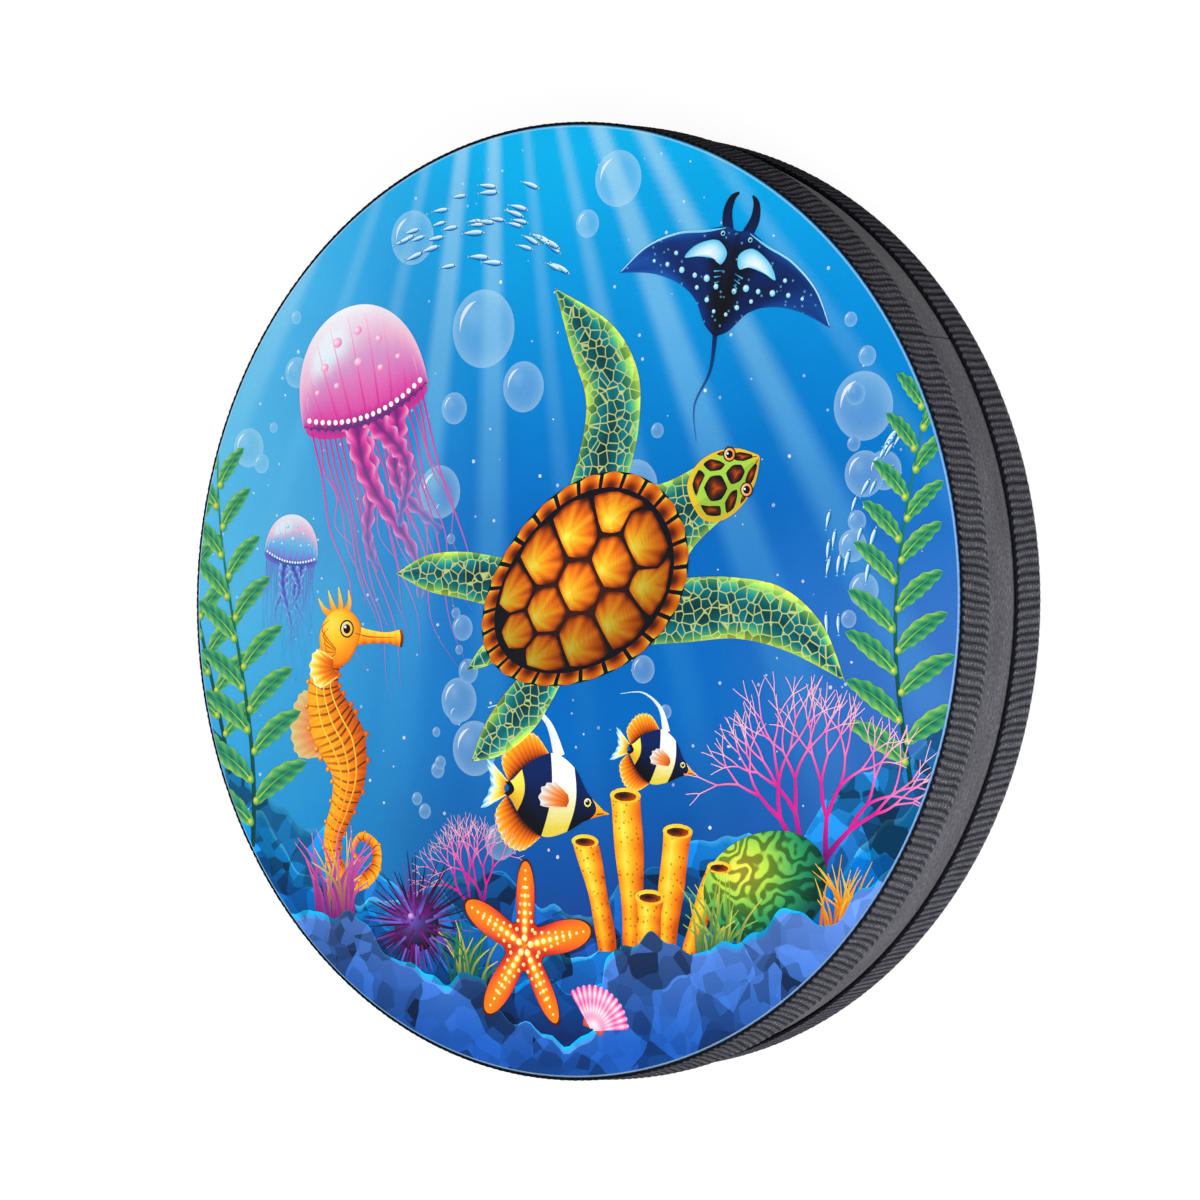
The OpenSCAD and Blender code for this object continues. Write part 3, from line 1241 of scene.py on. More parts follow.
@dataclass
class Turtle(Motif):
    """A sea turtle seen from above, its head along x, with scutes given in the unit disc."""

    rows: Sequence[float] = (0.84, 0.5, 0.16, -0.2, -0.54, -0.83)
    spread: Sequence[float] = (0.23, 0.2, 0.19, 0.19, 0.17, 0.13)
    middles: Sequence[float] = (0.66, 0.33, -0.02, -0.37, -0.69)
    widths: Sequence[float] = (0.33, 0.32, 0.32, 0.29, 0.24)
    rims: Sequence[float] = (22, 62, 90, 118, 150)
    marginals: int = 26
    limbs: Sequence[tuple[Points, Points]] = (
        ([(40, 26), (58, 44), (70, 66), (68, 92), (50, 122)], [(6, 36), (26, 52), (40, 70), (44, 94), (50, 122)]),
        (
            [(44, -24), (66, -36), (88, -54), (98, -78), (96, -104)],
            [(10, -38), (34, -50), (58, -62), (78, -80), (96, -104)],
        ),
        ([(-34, 32), (-52, 46), (-72, 56), (-92, 58)], [(-52, 18), (-66, 30), (-80, 42), (-92, 58)]),
        ([(-34, -32), (-56, -42), (-78, -44), (-96, -38)], [(-52, -18), (-68, -22), (-82, -28), (-96, -38)]),
        ([(-54, 5), (-66, 4), (-78, -1)], [(-54, -5), (-66, -5), (-78, -1)]),
    )
    skull: Points = (
        (66, 0), (68, 9), (77, 14), (88, 13.5), (98, 9), (104.5, 2.5), (106, 0), (104.5, -2.5), (98, -9), (88, -13.5),
        (77, -14), (68, -9),
    )
    crown_plates: Sequence[Points] = (
        [(74, 4), (80, 6.5), (86, 4), (86, -4), (80, -6.5), (74, -4)],
        [(87, 3.6), (93, 4.4), (97, 2), (97, -2), (93, -4.4), (87, -3.6)],
    )
    side_plates: Sequence[Points] = (
        [(69, 1), (73, 5), (79, 7.6), (77, 12.6), (69.5, 8)],
        [(80.5, 7.6), (86.6, 5), (90, 6), (88, 9), (84, 12.8), (78.6, 13)],
        [(98, 2.4), (103, 1), (104, 2.4), (98.6, 7.2), (94.6, 8.6), (94, 5.2)],
        [(89, 10.6), (93, 9), (91.6, 12), (87, 12.9)],
    )

    def on_shell(self, a: Array, b: Array) -> Array:
        """Places on the carapace of places in the unit disc: longer than wide, broad at the shoulders."""
        return np.stack([60 * a - 3, 41 * b * (1 + 0.14 * a)], -1)

    def light(self, a: Array, b: Array) -> Array:
        """How much light the carapace's dome gets: most to the left of its middle, least at its rim."""
        return 0.42 + 0.75 * np.exp(-((a - 0.12) ** 2 + (b - 0.34) ** 2) / 0.42)[..., None]

    def scute(self, sketch: Sketch, points: Points, seed: float) -> None:
        """Lays one scute: golden rays from its hind end on amber and brown, inside a dark seam.

        Args:
            sketch: the shell.
            points: its corners in the unit disc.
            seed: what sets its rays apart.
        """
        disc, out, _ = filled(corners(points, 0.07, 0.3), 19)
        a, b = disc[..., 0], disc[..., 1]
        root = disc.mean((0, 1)) + (-0.13, 0)
        ray = np.arctan2(b - root[1], a - root[0])
        reach = np.hypot(a - root[0], b - root[1]) / 0.4
        streak = 0.5 + 0.5 * np.cos(11 * ray + seed) * np.cos(4 * ray - 2 * seed)
        tone = np.clip(0.95 * reach + 0.55 * streak * reach**0.5 - 0.1, 0, 1.2) + 0.35 * smooth(0.8, 1.0, out)
        paint = tones(tone, (0, LEMON), (0.25, GOLD), (0.6, ORANGE), (0.95, RUST), (1.35, UMBER))
        sketch.lay(self.on_shell(a, b), paint * self.light(a, b), 5)

    def margin(self, sketch: Sketch) -> None:
        """Lays the marginal scutes: pieces of a ring whose outer edges bow out by a sine.

        Args:
            sketch: the shell.
        """
        part = 360 / self.marginals
        for k in range(self.marginals):
            start, end = math.radians(k * part + 1.2), math.radians((k + 1) * part - 1.2)
            theta, out = np.meshgrid(np.linspace(start, end, 9), np.linspace(0.885, 1.0, 7))
            share = (theta - start) / (end - start)
            out = out + 0.018 * np.sin(math.pi * share) * (out > 0.99)
            a, b = out * np.cos(theta), out * np.sin(theta)
            tone = smooth(0.9, 1.0, out) * 0.5 + 0.5 * np.abs(2 * share - 1) ** 2
            paint = tones(1 - tone, (0, LEMON), (0.4, ORANGE), (0.75, RUST), (1, UMBER))
            sketch.lay(self.on_shell(a, b), paint * (0.25 + self.light(a, b)), 5)

    def carapace(self) -> Sketch:
        """Draws the shell: a dark ground, the marginal scutes, five down the middle and four pairs beside them.

        Returns:
            The shell's sketch.
        """
        sketch = self.sketch("turtle_shell")
        a, b = round_grid(41)
        ground = tones(np.hypot(a, b), (0, UMBER), (0.85, BLACK), (1, BLACK))
        sketch.lay(self.on_shell(a * 1.015, b * 1.02), ground, 4)
        self.margin(sketch)
        ends, wides = list(zip(self.rows, self.spread)), list(zip(self.middles, self.widths))
        for k, wide in enumerate(wides):
            left = [ends[k], wide, ends[k + 1]]
            self.scute(sketch, left + [(x, -y) for x, y in left[::-1]], 1.3 * k)
        for k, wide in enumerate(wides[:-1]):
            rim = np.linspace(*np.radians(self.rims[k : k + 2])[::-1], 3)
            side = [wide, ends[k + 1], wides[k + 1], *(0.865 * rays(rim))]
            if k == 0:
                side = [(0.8, 0.27), *side]
            for way in (1, -1):
                self.scute(sketch, [(x, y * way) for x, y in side], 2.1 * k + way)
        return sketch

    def skin(self) -> Sketch:
        """Draws the flippers, the tail and the neck, each ruled from edge to edge and pale at its edges.

        Returns:
            The skin's sketch.
        """
        sketch = self.sketch("turtle_limbs", Pattern.PLATES)
        for lead, trail in self.limbs:
            grid, along, across = ruled(curve(lead, 49), curve(trail, 49), 21)
            edge = np.minimum(across, 1 - across) * 2
            tone = 0.25 + 0.65 * edge**0.7 - 0.25 * smooth(0.6, 1, along) + 0.1 * np.sin(9 * along)
            paint = tones(tone, (0, LEMON), (0.3, LIME), (0.62, TEAL), (0.95, FOREST))
            sketch.lay(grid, paint * (1.15 - 0.4 * across[..., None]), 2)
        side = curve([(40, 24), (58, 16), (78, 13)], 15)
        neck, _, across = ruled(side, side * (1, -1), 11)
        sketch.lay(neck, tones(np.abs(2 * across - 1), (0, FOREST), (0.7, TEAL), (1, LIME)), 1)
        return sketch

    def head(self) -> Sketch:
        """Draws the head: a lime skull with dark plates, an eye at each side and the beak's edges.

        Returns:
            The head's sketch.
        """
        sketch = self.sketch("turtle_head")
        outline = np.roll(curve(self.skull, 97, True)[:-1], -24, 0)
        grid, out, _ = filled(np.vstack([outline, outline[:1]]), 25, (86, 0))
        paint = tones(out, (0, LIME), (0.75, LIME), (1, GOLD))
        sketch.lay(grid, paint * (1.0 - 0.2 * (grid[..., 1:] < 0)), 3)
        sides = [[(x, y * way) for x, y in plate] for way in (1, -1) for plate in self.side_plates]
        for k, plate in enumerate([*self.crown_plates, *sides]):
            grid, out, angle = filled(corners(plate, 0.09, 0.35), 11)
            paint = tones(out + 0.15 * np.cos(3 * angle + k), (0, RUST), (0.5, UMBER), (1, BLACK))
            sketch.lay(grid, paint * (1.5 - 0.03 * np.abs(grid[..., 1:] - 5)), 4)
        for way in (1, -1):
            sketch.eye(93.4, 8.9 * way, 3.3, 5, ORANGE)
            sketch.strand([(105, 0.8 * way), (101.6, 2.2 * way)], [0.3, 0.5], BLACK, BLACK, 5, 5)
        return sketch

    def draw(self) -> list[Sketch]:
        """Every sketch of the turtle."""
        return [self.skin(), self.head(), self.carapace()]


@dataclass
class Jelly(Motif):
    """A jellyfish under way, its bell upwards, in a dark, an edge and a body ink."""

    name: str
    seed: int
    inks: tuple[Ink, Ink, Ink] = (PLUM, MAGENTA, PINK)
    solid: float = 0.93
    tentacles: int = 22
    arms: Points = ((-13, 74), (12, 66), (-4, 92), (5, 58))
    spots: Points = (
        (-19, 18, 2.3), (-9, 27, 2.8), (4, 29, 2.4), (15, 22, 2.0), (-14, 8, 1.7), (1, 15, 2.6), (13, 9, 1.8),
        (24, 11, 1.6), (-26, 8, 1.6),
    )

    def fringe(self, sketch: Sketch) -> None:
        """Lays the tentacles: strands whose sideways swing is a sine that grows with the length.

        Args:
            sketch: the jellyfish.
        """
        rng = np.random.default_rng(self.seed)
        t = np.linspace(0, 1, 30)
        for k in range(self.tentacles):
            x = -35 + 70 * (k + 0.5) / self.tentacles
            length, swing, pace = rng.uniform(60, 130), rng.uniform(2, 6), rng.uniform(1.2, 2.4)
            sway = x + (x * 0.1 + 9) * t**1.5 + swing * t * np.sin(TURN * pace * t + k)
            path = np.stack([sway, -9 - length * t], 1)
            sketch.strand(path, [1.1, 0.9, 0.7, 0.3], *self.inks[1:], 1, 40, 0.9)

    def frills(self, sketch: Sketch) -> None:
        """Lays the arms: bands whose width waves, with a paler ruffle at each side.

        Args:
            sketch: the jellyfish.
        """
        dark, edge, body = self.inks
        t = np.linspace(0, 1, 90)
        for k, (x, length) in enumerate(self.arms):
            path = np.stack([x + 10 * t + (5 + 4 * t) * np.sin(5.5 * t + 1.7 * k), -6 - length * t], 1)
            frill = 13 * (1 - 0.75 * t) + 2.4 * np.sin(58 * t + k) * (1 - 0.5 * t)
            grid, along, across = ribbon(path, frill, 13)
            side = np.abs(2 * across - 1)
            ruffle = 0.5 + 0.5 * np.cos(58 * along + k + 5 * side)
            paint = tones(side * (0.6 + 0.4 * ruffle), (0, dark), (0.35, edge), (0.75, body), (1, BLUSH))
            sketch.lay(grid, sketch.veil(grid, paint, 0.96 - 0.75 * along**2), 2 + k)

    def bell(self, sketch: Sketch) -> None:
        """Lays the bell, ruled from a sagging, scalloped margin to its crown, half an oval, with seams and spots.

        Args:
            sketch: the jellyfish.
        """
        dark, edge, body = self.inks
        s = np.linspace(-1, 1, 91)
        margin = np.stack([38 * s, -6 - 9 * (1 - s * s) + 1.3 * np.abs(np.sin(9 * math.pi * s))], 1)
        crown = np.stack([38 * np.sin(s * math.pi / 2), -6 + 47 * np.cos(s * math.pi / 2) ** 0.82], 1)
        grid, along, across = ruled(margin, crown, 41)
        tone = 0.75 - 0.75 * across + 0.25 * np.abs(2 * along - 1) ** 2 + 0.5 * smooth(0.16, 0, across)
        tone = tone - 0.35 * np.exp(-((along - 0.34) ** 2 + (across - 0.72) ** 2) / 0.02)
        paint = tones(tone, (0, WHITE), (0.2, BLUSH), (0.45, body), (0.8, edge), (1.15, dark))
        sketch.lay(grid, sketch.veil(grid, paint, self.solid - 0.2 * np.exp(-((across - 0.55) ** 2) / 0.05)), 6)
        for k in range(-4, 5):
            share = 0.5 + k / 9.6
            line = grid[2:-3, min(int(share * 90), 90)]
            lean = (0.5 - share) * 10 * np.linspace(0, 1, len(line)) ** 2
            sketch.strand(line + np.stack([lean, 0 * lean], 1), [1.4, 0.9, 0.3], edge, BLUSH, 7, 24)
        for k in range(19):
            x = -0.9 + 0.1 * k
            sketch.dot(38 * x * 0.985, -6 - 9 * (1 - x * x) + 4.6, 1.25, WHITE, 8)
        for x, y, radius in self.spots:
            sketch.glow(x, y, radius, 8, WHITE, body, 0.8, 9)

    def draw(self) -> list[Sketch]:
        """Draws the bell's under-side, the tentacles, the arms and the bell.

        Returns:
            The jellyfish's sketch.
        """
        sketch = self.sketch(self.name)
        a, b = round_grid(25)
        under = np.stack([37 * a, -7 + 10 * b], -1)
        paint = tones(np.hypot(a, b), (0, BLACK), (0.4, self.inks[0]), (1, self.inks[1]))
        sketch.lay(under, sketch.veil(under, paint, 0.9), 0)
        self.fringe(sketch)
        self.frills(sketch)
        self.bell(sketch)
        return [sketch]


@dataclass
class Manta(Motif):
    """A manta ray seen from above, its head along y."""

    front: Points = ((0, 25), (9, 26), (20, 22), (38, 17), (56, 6), (70, -12))
    hind: Points = ((0, -32), (8, -27), (18, -15), (32, -9), (50, -8), (70, -12))
    shoulder: Points = ((4, 13), (12, 18), (24, 13), (30, 5), (22, 7), (12, 8), (6, 6))
    spots: Points = (
        (6, -6, 1.5), (13, -3, 1.9), (21, -3, 1.4), (30, -2, 1.7), (40, -1, 1.3), (10, -14, 1.4), (18, -9, 1.2),
        (49, -1, 1.0), (4, -19, 1.1), (36, 6, 1.2),
    )

    def wing(self, sketch: Sketch, marks: Sketch, way: int) -> None:
        """Lays one wing, ruled from its front edge to its hind edge and black along the middle, and its marks.

        Args:
            sketch: the ray's back.
            marks: its marks.
            way: 1 for the right wing and -1 for the left.
        """
        side = (way, 1)
        grid, along, across = ruled(curve(self.front, 61) * side, curve(self.hind, 61) * side, 31)
        tone = along * 0.75 + 0.35 * smooth(0.2, 0, across) + 0.2 * smooth(0.8, 1, across)
        tone = tone + 0.08 * np.sin(14 * along + 5 * across)
        paint = tones(tone, (0, BLACK), (0.35, NAVY), (0.75, DEEP), (1.1, AZURE))
        sketch.lay(grid, paint * (1.25 if way < 0 else 0.9), 2)
        horn = np.array([(6, 24), (9, 33), (8, 41), (4.5, 45)]) * side
        marks.strand(horn, [7, 6, 4, 1.2], NAVY, BLACK, 1, 16, rows=5)
        edge = np.array([(8, 25.3), (20, 21.2), (38, 16.2), (56, 5.2), (69, -11)]) * side
        marks.strand(edge, [0.4, 1.3, 1.2, 0.9, 0.3], SKY, FOAM, 3, 50)
        shoulder = curve(np.array(self.shoulder) * side, 57, True)
        marks.fill(shoulder, 17, 3, (0, WHITE), (0.55, FOAM), (1, SKY))
        for x, y, radius in self.spots:
            marks.glow(x * way, y, radius, 3, WHITE, SKY, steps=7)
        for k in range(4):
            gill = np.array([(4 + k * 0.4, 3 - 3 * k), (9.5 - k, 1.6 - 3 * k)]) * side
            marks.strand(gill, [0.5, 0.8], BLUE, SKY, 3, 5)
        marks.eye(9 * way, 22.2, 1.7, 4, SKY)

    def draw(self) -> list[Sketch]:
        """Draws the ray's tail, then both wings.

        Returns:
            The ray's sketches.
        """
        sketch, marks = self.sketch("manta", Pattern.SPECKS), self.sketch("manta_marks")
        tail = [(0, -30), (2, -50), (-3, -70), (3, -88)]
        marks.strand(tail, [3.2, 1.8, 1.1, 0.4], NAVY, DEEP, 1, 30, 0.4)
        for way in (1, -1):
            self.wing(sketch, marks, way)
        return [sketch, marks]


@dataclass
class Seahorse(Motif):
    """A seahorse facing right, upright."""

    spine: Points = (
        (-1, 44), (-8, 36), (-12, 24), (-9, 10), (-3, -2), (-1, -16), (-6, -30), (-13, -43), (-13, -56), (-3, -65),
        (9, -61), (12, -50), (4, -44), (-2, -50), (2, -55),
    )
    widths: Sequence[float] = (11, 14, 19, 27, 28, 20, 14, 11, 9, 7.6, 6.2, 5, 3.8, 2.8, 1.6)
    skull: Points = ((13, 50), (9, 57), (1, 60), (-7, 57), (-12, 49), (-11, 40), (-5, 34), (3, 35), (9, 41))
    crown: Points = ((-9, 63, -5), (-4, 66, -2), (1, 67, 1), (6, 65, 3))

    def body(self) -> Sketch:
        """Draws the back fin, the body, a band about the spine, and three pale lines along it.

        Rings are thin bands that bow downwards, closer towards the tail. Every other one ends in studs.

        Returns:
            The body's sketch.
        """
        sketch = self.sketch("seahorse")
        sketch.fin(
            [(-12, 19), (-16, 8), (-13, -5)], [(-12, 20), (-25, 25), (-34, 12), (-31, -5), (-13, -6)], 13, 0,
            (0, RUST), (0.4, ORANGE), (0.9, GOLD), (1.2, LEMON), solid=0.7,
        )
        path = curve(self.spine, 181)
        widths = np.interp(np.linspace(0, len(self.widths) - 1, 181), range(len(self.widths)), self.widths)
        grid, along, across = ribbon(path, widths, 19)
        ring = np.abs((74 * along**0.8 % 1) - 0.5) * 2
        tone = 0.12 + 0.8 * across**1.4 + 0.25 * (1 - across) ** 4 + 0.22 * (1 - ring) ** 2
        sketch.lay(grid, tones(tone, (0, LEMON), (0.3, GOLD), (0.62, ORANGE), (1, RUST)), 1)
        for k in range(40):
            i = min(max(int(((k + 0.5) / 44) ** (1 / 0.8) * 180), 1), 179)
            left, right, width = grid[0, i], grid[-1, i], widths[i]
            middle = (left + right) / 2
            step = path[i + 1] - path[i - 1]
            bow = middle + step / np.hypot(*step) * width * 0.13
            wide = 0.35 + 0.035 * width
            sketch.strand([left, bow, right], [wide * 0.7, wide, wide * 0.6], ORANGE, UMBER, 2, 12)
            if k % 2 == 0 and width > 4:
                for edge, ink in ((left, LEMON), (right, ORANGE)):
                    sketch.glow(*(edge + (edge - middle) * 0.07), 0.5 + 0.035 * width, 3, ink, RUST, steps=7)
        for row in (5, 9, 13):
            sketch.strand(grid[row, 8:120], [0.3, 0.9, 0.9, 0.3], LEMON, ORANGE, 3, 90)
        return sketch

    def head(self) -> Sketch:
        """Draws the crown, the snout, the skull with its creases, the eye and the cheek's fin.

        Returns:
            The head's sketch.
        """
        sketch = self.sketch("seahorse_head")
        for k, (x, y, lean) in enumerate(self.crown):
            spike = [(-3 + 2 * k, 57), (x + 1, (y + 58) / 2), (x + lean * 0.4, y + 3)]
            sketch.strand(spike, [4.2, 2.6, 0.5], ORANGE, LEMON, 3, rows=5)
        above = curve([(6, 53), (18, 48.6), (28, 46.5), (36, 47)], 31)
        below = curve([(4, 42), (16, 42.4), (28, 41.4), (35.4, 39)], 31)
        snout, along, across = ruled(above, below, 11)
        tone = across * 0.85 + 0.15 * np.cos(22 * along) ** 2
        sketch.lay(snout, tones(tone, (0, LEMON), (0.45, GOLD), (0.8, ORANGE), (1, RUST)), 4)
        sketch.strand([(36, 47), (36.6, 43), (35.4, 39)], [1.2, 1.6, 1.2], RUST, UMBER, 5, 9)
        grid, out, _ = filled(curve(self.skull, 73, True), 27)
        tone = np.hypot(grid[..., 0] + 4, grid[..., 1] - 54) / 24 + 0.15 * smooth(0.85, 1, out)
        sketch.lay(grid, tones(tone, (0, LEMON), (0.4, GOLD), (0.8, ORANGE), (1.1, RUST)), 4)
        creases = [
            ([(-3, 40 + 0.5 * k), (-8 - k * 0.6, 38 + 3.4 * k), (-9.4 + k, 41 + 3.6 * k)], 0.8, 10) for k in range(5)
        ]
        for points, width, count in [*creases, ([(9, 48), (18, 45.4), (33, 43.6)], 0.7, 16)]:
            sketch.strand(points, [0.3, width, 0.3], RUST, ORANGE, 5, count)
        sketch.eye(4.6, 50.4, 4.1, 6)
        sketch.fin(
            [(-5, 37), (-5, 33), (-3, 30)], [(-5, 38), (-15, 43), (-20, 34), (-15, 25), (-3, 29)], 9, 5,
            (0, RUST), (0.5, ORANGE), (0.9, LEMON), (1.2, WHITE),
        )
        return sketch

    def draw(self) -> list[Sketch]:
        """Every sketch of the seahorse."""
        return [self.body(), self.head()]


@dataclass(frozen=True)
class Rocks:
    """One rank of rock: its crest, its inks and how much water shows through it."""

    name: str
    lowest: int
    top: Ink
    foot: Ink
    rim: Ink
    solid: float
    rim_solid: float
    crest: Points

    def draw(self, rank: int) -> Sketch:
        """Draws the rank, ruled from its jagged crest, a curve with sines on it, to the print's edge.

        Args:
            rank: how many ranks stand behind it.

        Returns:
            Its sketch.
        """
        sketch = Sketch("rock_" + self.name, lowest=self.lowest, pattern=Pattern.FACETS)
        line = curve(self.crest, 241)
        x = line[:, 0]
        line[:, 1] += 2.2 * np.sin(x / 5.1 + rank) + 1.6 * np.sin(x / 2.3) * np.cos(x / 17)
        edge = -np.sqrt(np.clip(205**2 - x**2, 0, None))
        grid, _, _ = ruled(line, np.stack([x, np.minimum(edge, line[:, 1] - 1)], 1), 27)
        depth = line[:, 1].mean() + 12 - grid[..., 1] + 0.35 * (line[None, :, 1] - grid[..., 1])
        sketch.lay(grid, sketch.veil(grid, tones(depth / 70, (0, self.top), (1, self.foot)), self.solid), 0)
        rim, _, across = ruled(line, line - np.stack([0 * x, 2.2 + 1.8 * np.sin(x / 13 + 2 * rank)], 1), 5)
        sketch.lay(rim, sketch.veil(rim, tones(across, (0, self.rim), (1, self.top)), self.rim_solid), 1)
        return sketch


@dataclass
class Reef:
    """Rocks, corals and small life along the foot of the print."""

    ranks: Sequence[Rocks] = (
        Rocks("far", 0, AZURE, DEEP, SKY, 0.6, 0.4, (
            (-206, -40), (-186, -66), (-150, -96), (-118, -104), (-80, -128), (-30, -118), (14, -134), (52, -112),
            (92, -96), (122, -104), (150, -72), (176, -64), (206, -34),
        )),
        Rocks("middle", 2, AZURE, DEEP, SKY, 0.92, 0.75, (
            (-206, -78), (-170, -92), (-140, -120), (-96, -134), (-62, -126), (-20, -150), (34, -146), (66, -124),
            (106, -118), (136, -126), (160, -98), (206, -60),
        )),
        Rocks("near", 4, BLUE, NAVY, AZURE, 1.0, 0.9, (
            (-206, -104), (-160, -118), (-128, -132), (-92, -142), (-50, -158), (4, -164), (50, -160), (84, -138),
            (120, -132), (146, -110), (206, -90),
        )),
        Rocks("front", 14, IRIS, DEEP, CYAN, 1.0, 0.9, (
            (-206, -110), (-172, -116), (-146, -140), (-112, -139), (-92, -152), (-66, -164), (-38, -164), (-14, -182),
            (24, -184), (32, -150), (50, -142), (68, -143), (86, -145), (104, -136), (128, -126), (146, -130),
            (168, -108), (206, -96),
        )),
    )
    fan_inks: Sequence[Ink] = (BLUSH, PINK, PINK, MAGENTA, MAGENTA, PLUM, PLUM)
    tubes: Points = (
        (-22, 2, -12, 46, 6.5), (20, 0, 15, 40, 6), (-8, 2, -5, 66, 8), (8, 0, 6, 54, 7.4), (-1, -4, 1, 30, 7),
    )

    def branch(
        self, sketch: Sketch, rng: np.random.Generator, start: Array, angle: float, length: float, width: float,
        left: int,
    ) -> None:
        """Lays one branch and those that fork from its end, each shorter and thinner.

        Args:
            sketch: the fan.
            rng: where its chances come from.
            start: where it starts.
            angle: which way, in radians.
            length, width: its size.
            left: how many times it still forks.
        """
        bend = rng.uniform(-0.22, 0.22)
        step = rays(angle)
        end = start + (step + rays(angle + bend)) * length / 2
        inks = (self.fan_inks[left], self.fan_inks[max(left - 1, 0)])
        widths = [width, width * 0.85, width * 0.68]
        sketch.strand([start, start + step * length / 2, end], widths, *inks, 6 - left, 7)
        if left:
            for side in (-1, 1):
                lean = angle + bend + side * rng.uniform(0.2, 0.46)
                self.branch(sketch, rng, end, lean, length * rng.uniform(0.76, 0.93), widths[-1], left - 1)

    def sea_fan(self, at: tuple[float, float], turn: float, size: float, seed: int) -> Sketch:
        """Draws a fan coral that forks six times from two stems.

        Args:
            at, turn, size: its place.
            seed: what sets it apart.

        Returns:
            Its sketch.
        """
        sketch, rng = Sketch(f"sea_fan_{seed}", at, turn, size, 5), np.random.default_rng(seed)
        for lean in (1.2, 1.95):
            self.branch(sketch, rng, np.zeros(2), lean, 21, 4.6, 6)
        return sketch

    def sponges(self) -> Sketch:
        """Draws tube sponges: bands about leaning spines, each with a dark mouth in a pale lip.

        Returns:
            Their sketch.
        """
        sketch = Sketch("tube_sponges", (54, -150), lowest=7, pattern=Pattern.PORES)
        side = np.linspace(0, 1, 41)
        for k, (x, y, lean, tall, wide) in enumerate(self.tubes):
            swell = wide * (0.72 + 0.3 * side**1.5 + 0.06 * np.sin(9 * side + k))
            spine, half = np.stack([x + lean * side**1.3, y + tall * side], 1), np.stack([swell, 0 * swell], 1)
            grid, along, across = ruled(spine - half, spine + half, 23)
            tone = np.abs(across - 0.34) * 1.3 + 0.45 * (1 - along) ** 2 + 0.06 * np.sin(30 * along)
            sketch.lay(grid, tones(tone, (0, LEMON), (0.3, GOLD), (0.65, ORANGE), (1, RUST)), k)
            x, y = spine[-1]
            sketch.glow(x, y, swell[-1] * 1.04, k + 1, LEMON, GOLD, 0.42, 19)
            sketch.glow(x, y - 0.3, swell[-1] * 0.76, k + 2, BLACK, RUST, 0.34)
        return sketch

    def starfish(self) -> Sketch:
        """Draws a starfish: the radius is a raised cosine of five times the angle, to a power.

        Returns:
            Its sketch.
        """
        sketch = Sketch("starfish", (-12, -148), 14, 0.98, 16)
        theta = np.linspace(0, TURN, 241)
        radius = 11 + 26 * (0.5 + 0.5 * np.cos(5 * theta)) ** 1.7
        outline = radius[:, None] * rays(theta + 0.1 * np.sin(2 * theta))
        coats = ((1.035, (RED, UMBER, UMBER, UMBER)), (1, (GOLD, ORANGE, CORAL, RED)))
        for layer, (scale, inks) in enumerate(coats):
            grid, out, angle = filled(outline * scale, 71, (0, 0))
            axis = np.cos(5 * angle) * 0.5 + 0.5
            tone = 0.95 - 0.75 * axis**3 * (1 - 0.35 * out) - 0.35 * (1 - out) ** 2
            sketch.lay(grid, tones(tone, *zip((0, 0.45, 0.75, 1), inks)), layer)
        for arm in range(5):
            ray = rays(TURN * arm / 5 + 0.1 * math.sin(2 * TURN * arm / 5))
            for k in range(9):
                stud = (3.4 + 3.7 * k) * ray
                sketch.glow(*stud, 1.55 - 0.12 * k, 2, WHITE, LEMON, steps=9)
                if 0 < k < 7:
                    for side in (-1, 1):
                        beside = stud + side * (4.9 - 0.62 * k) * np.array([-ray[1], ray[0]])
                        sketch.glow(*beside, 1.0 - 0.06 * k, 2, WHITE, GOLD, steps=7)
        return sketch

    def urchin(self) -> Sketch:
        """Draws a sea urchin: spines of many lengths behind and before a dark violet ball.

        Returns:
            Its sketch.
        """
        sketch, rng = Sketch("urchin", (-72, -142), lowest=8), np.random.default_rng(8)
        for k in range(110):
            angle = TURN * (k * GOLDEN % 1)
            near, far = rng.uniform(2, 11), rng.uniform(19, 33)
            path = [near * rays(angle), far * rays(angle + rng.uniform(-0.12, 0.12))]
            inks = (PLUM if k % 3 else VIOLET, BLACK if k % 4 else VIOLET)
            sketch.strand(path, [1.3, 0.2], *inks, k % 3 if k < 70 else 3 + k % 3, 4)
            if k == 69:
                sketch.glow(0, 0, 12.5, 2, VIOLET, BLACK, 0.95, 25)
        sketch.glow(-3, 3.4, 1.8, 5, BLUSH, VIOLET, 0.8, 9)
        return sketch

    def brain_coral(self) -> Sketch:
        """Draws a domed coral with winding folds: a disc pressed into a dome.

        Returns:
            Its sketch.
        """
        sketch = Sketch("brain_coral", (112, -118), 18, lowest=8, pattern=Pattern.FOLDS)
        a, b = round_grid(41)
        paint = tones(np.hypot(a + 0.3, b - 0.45), (0, LEMON), (0.45, LIME), (0.95, GREEN), (1.5, FOREST))
        sketch.lay(np.stack([31 * a, 23 * b + 2 * a * a], -1), paint, 0)
        return sketch

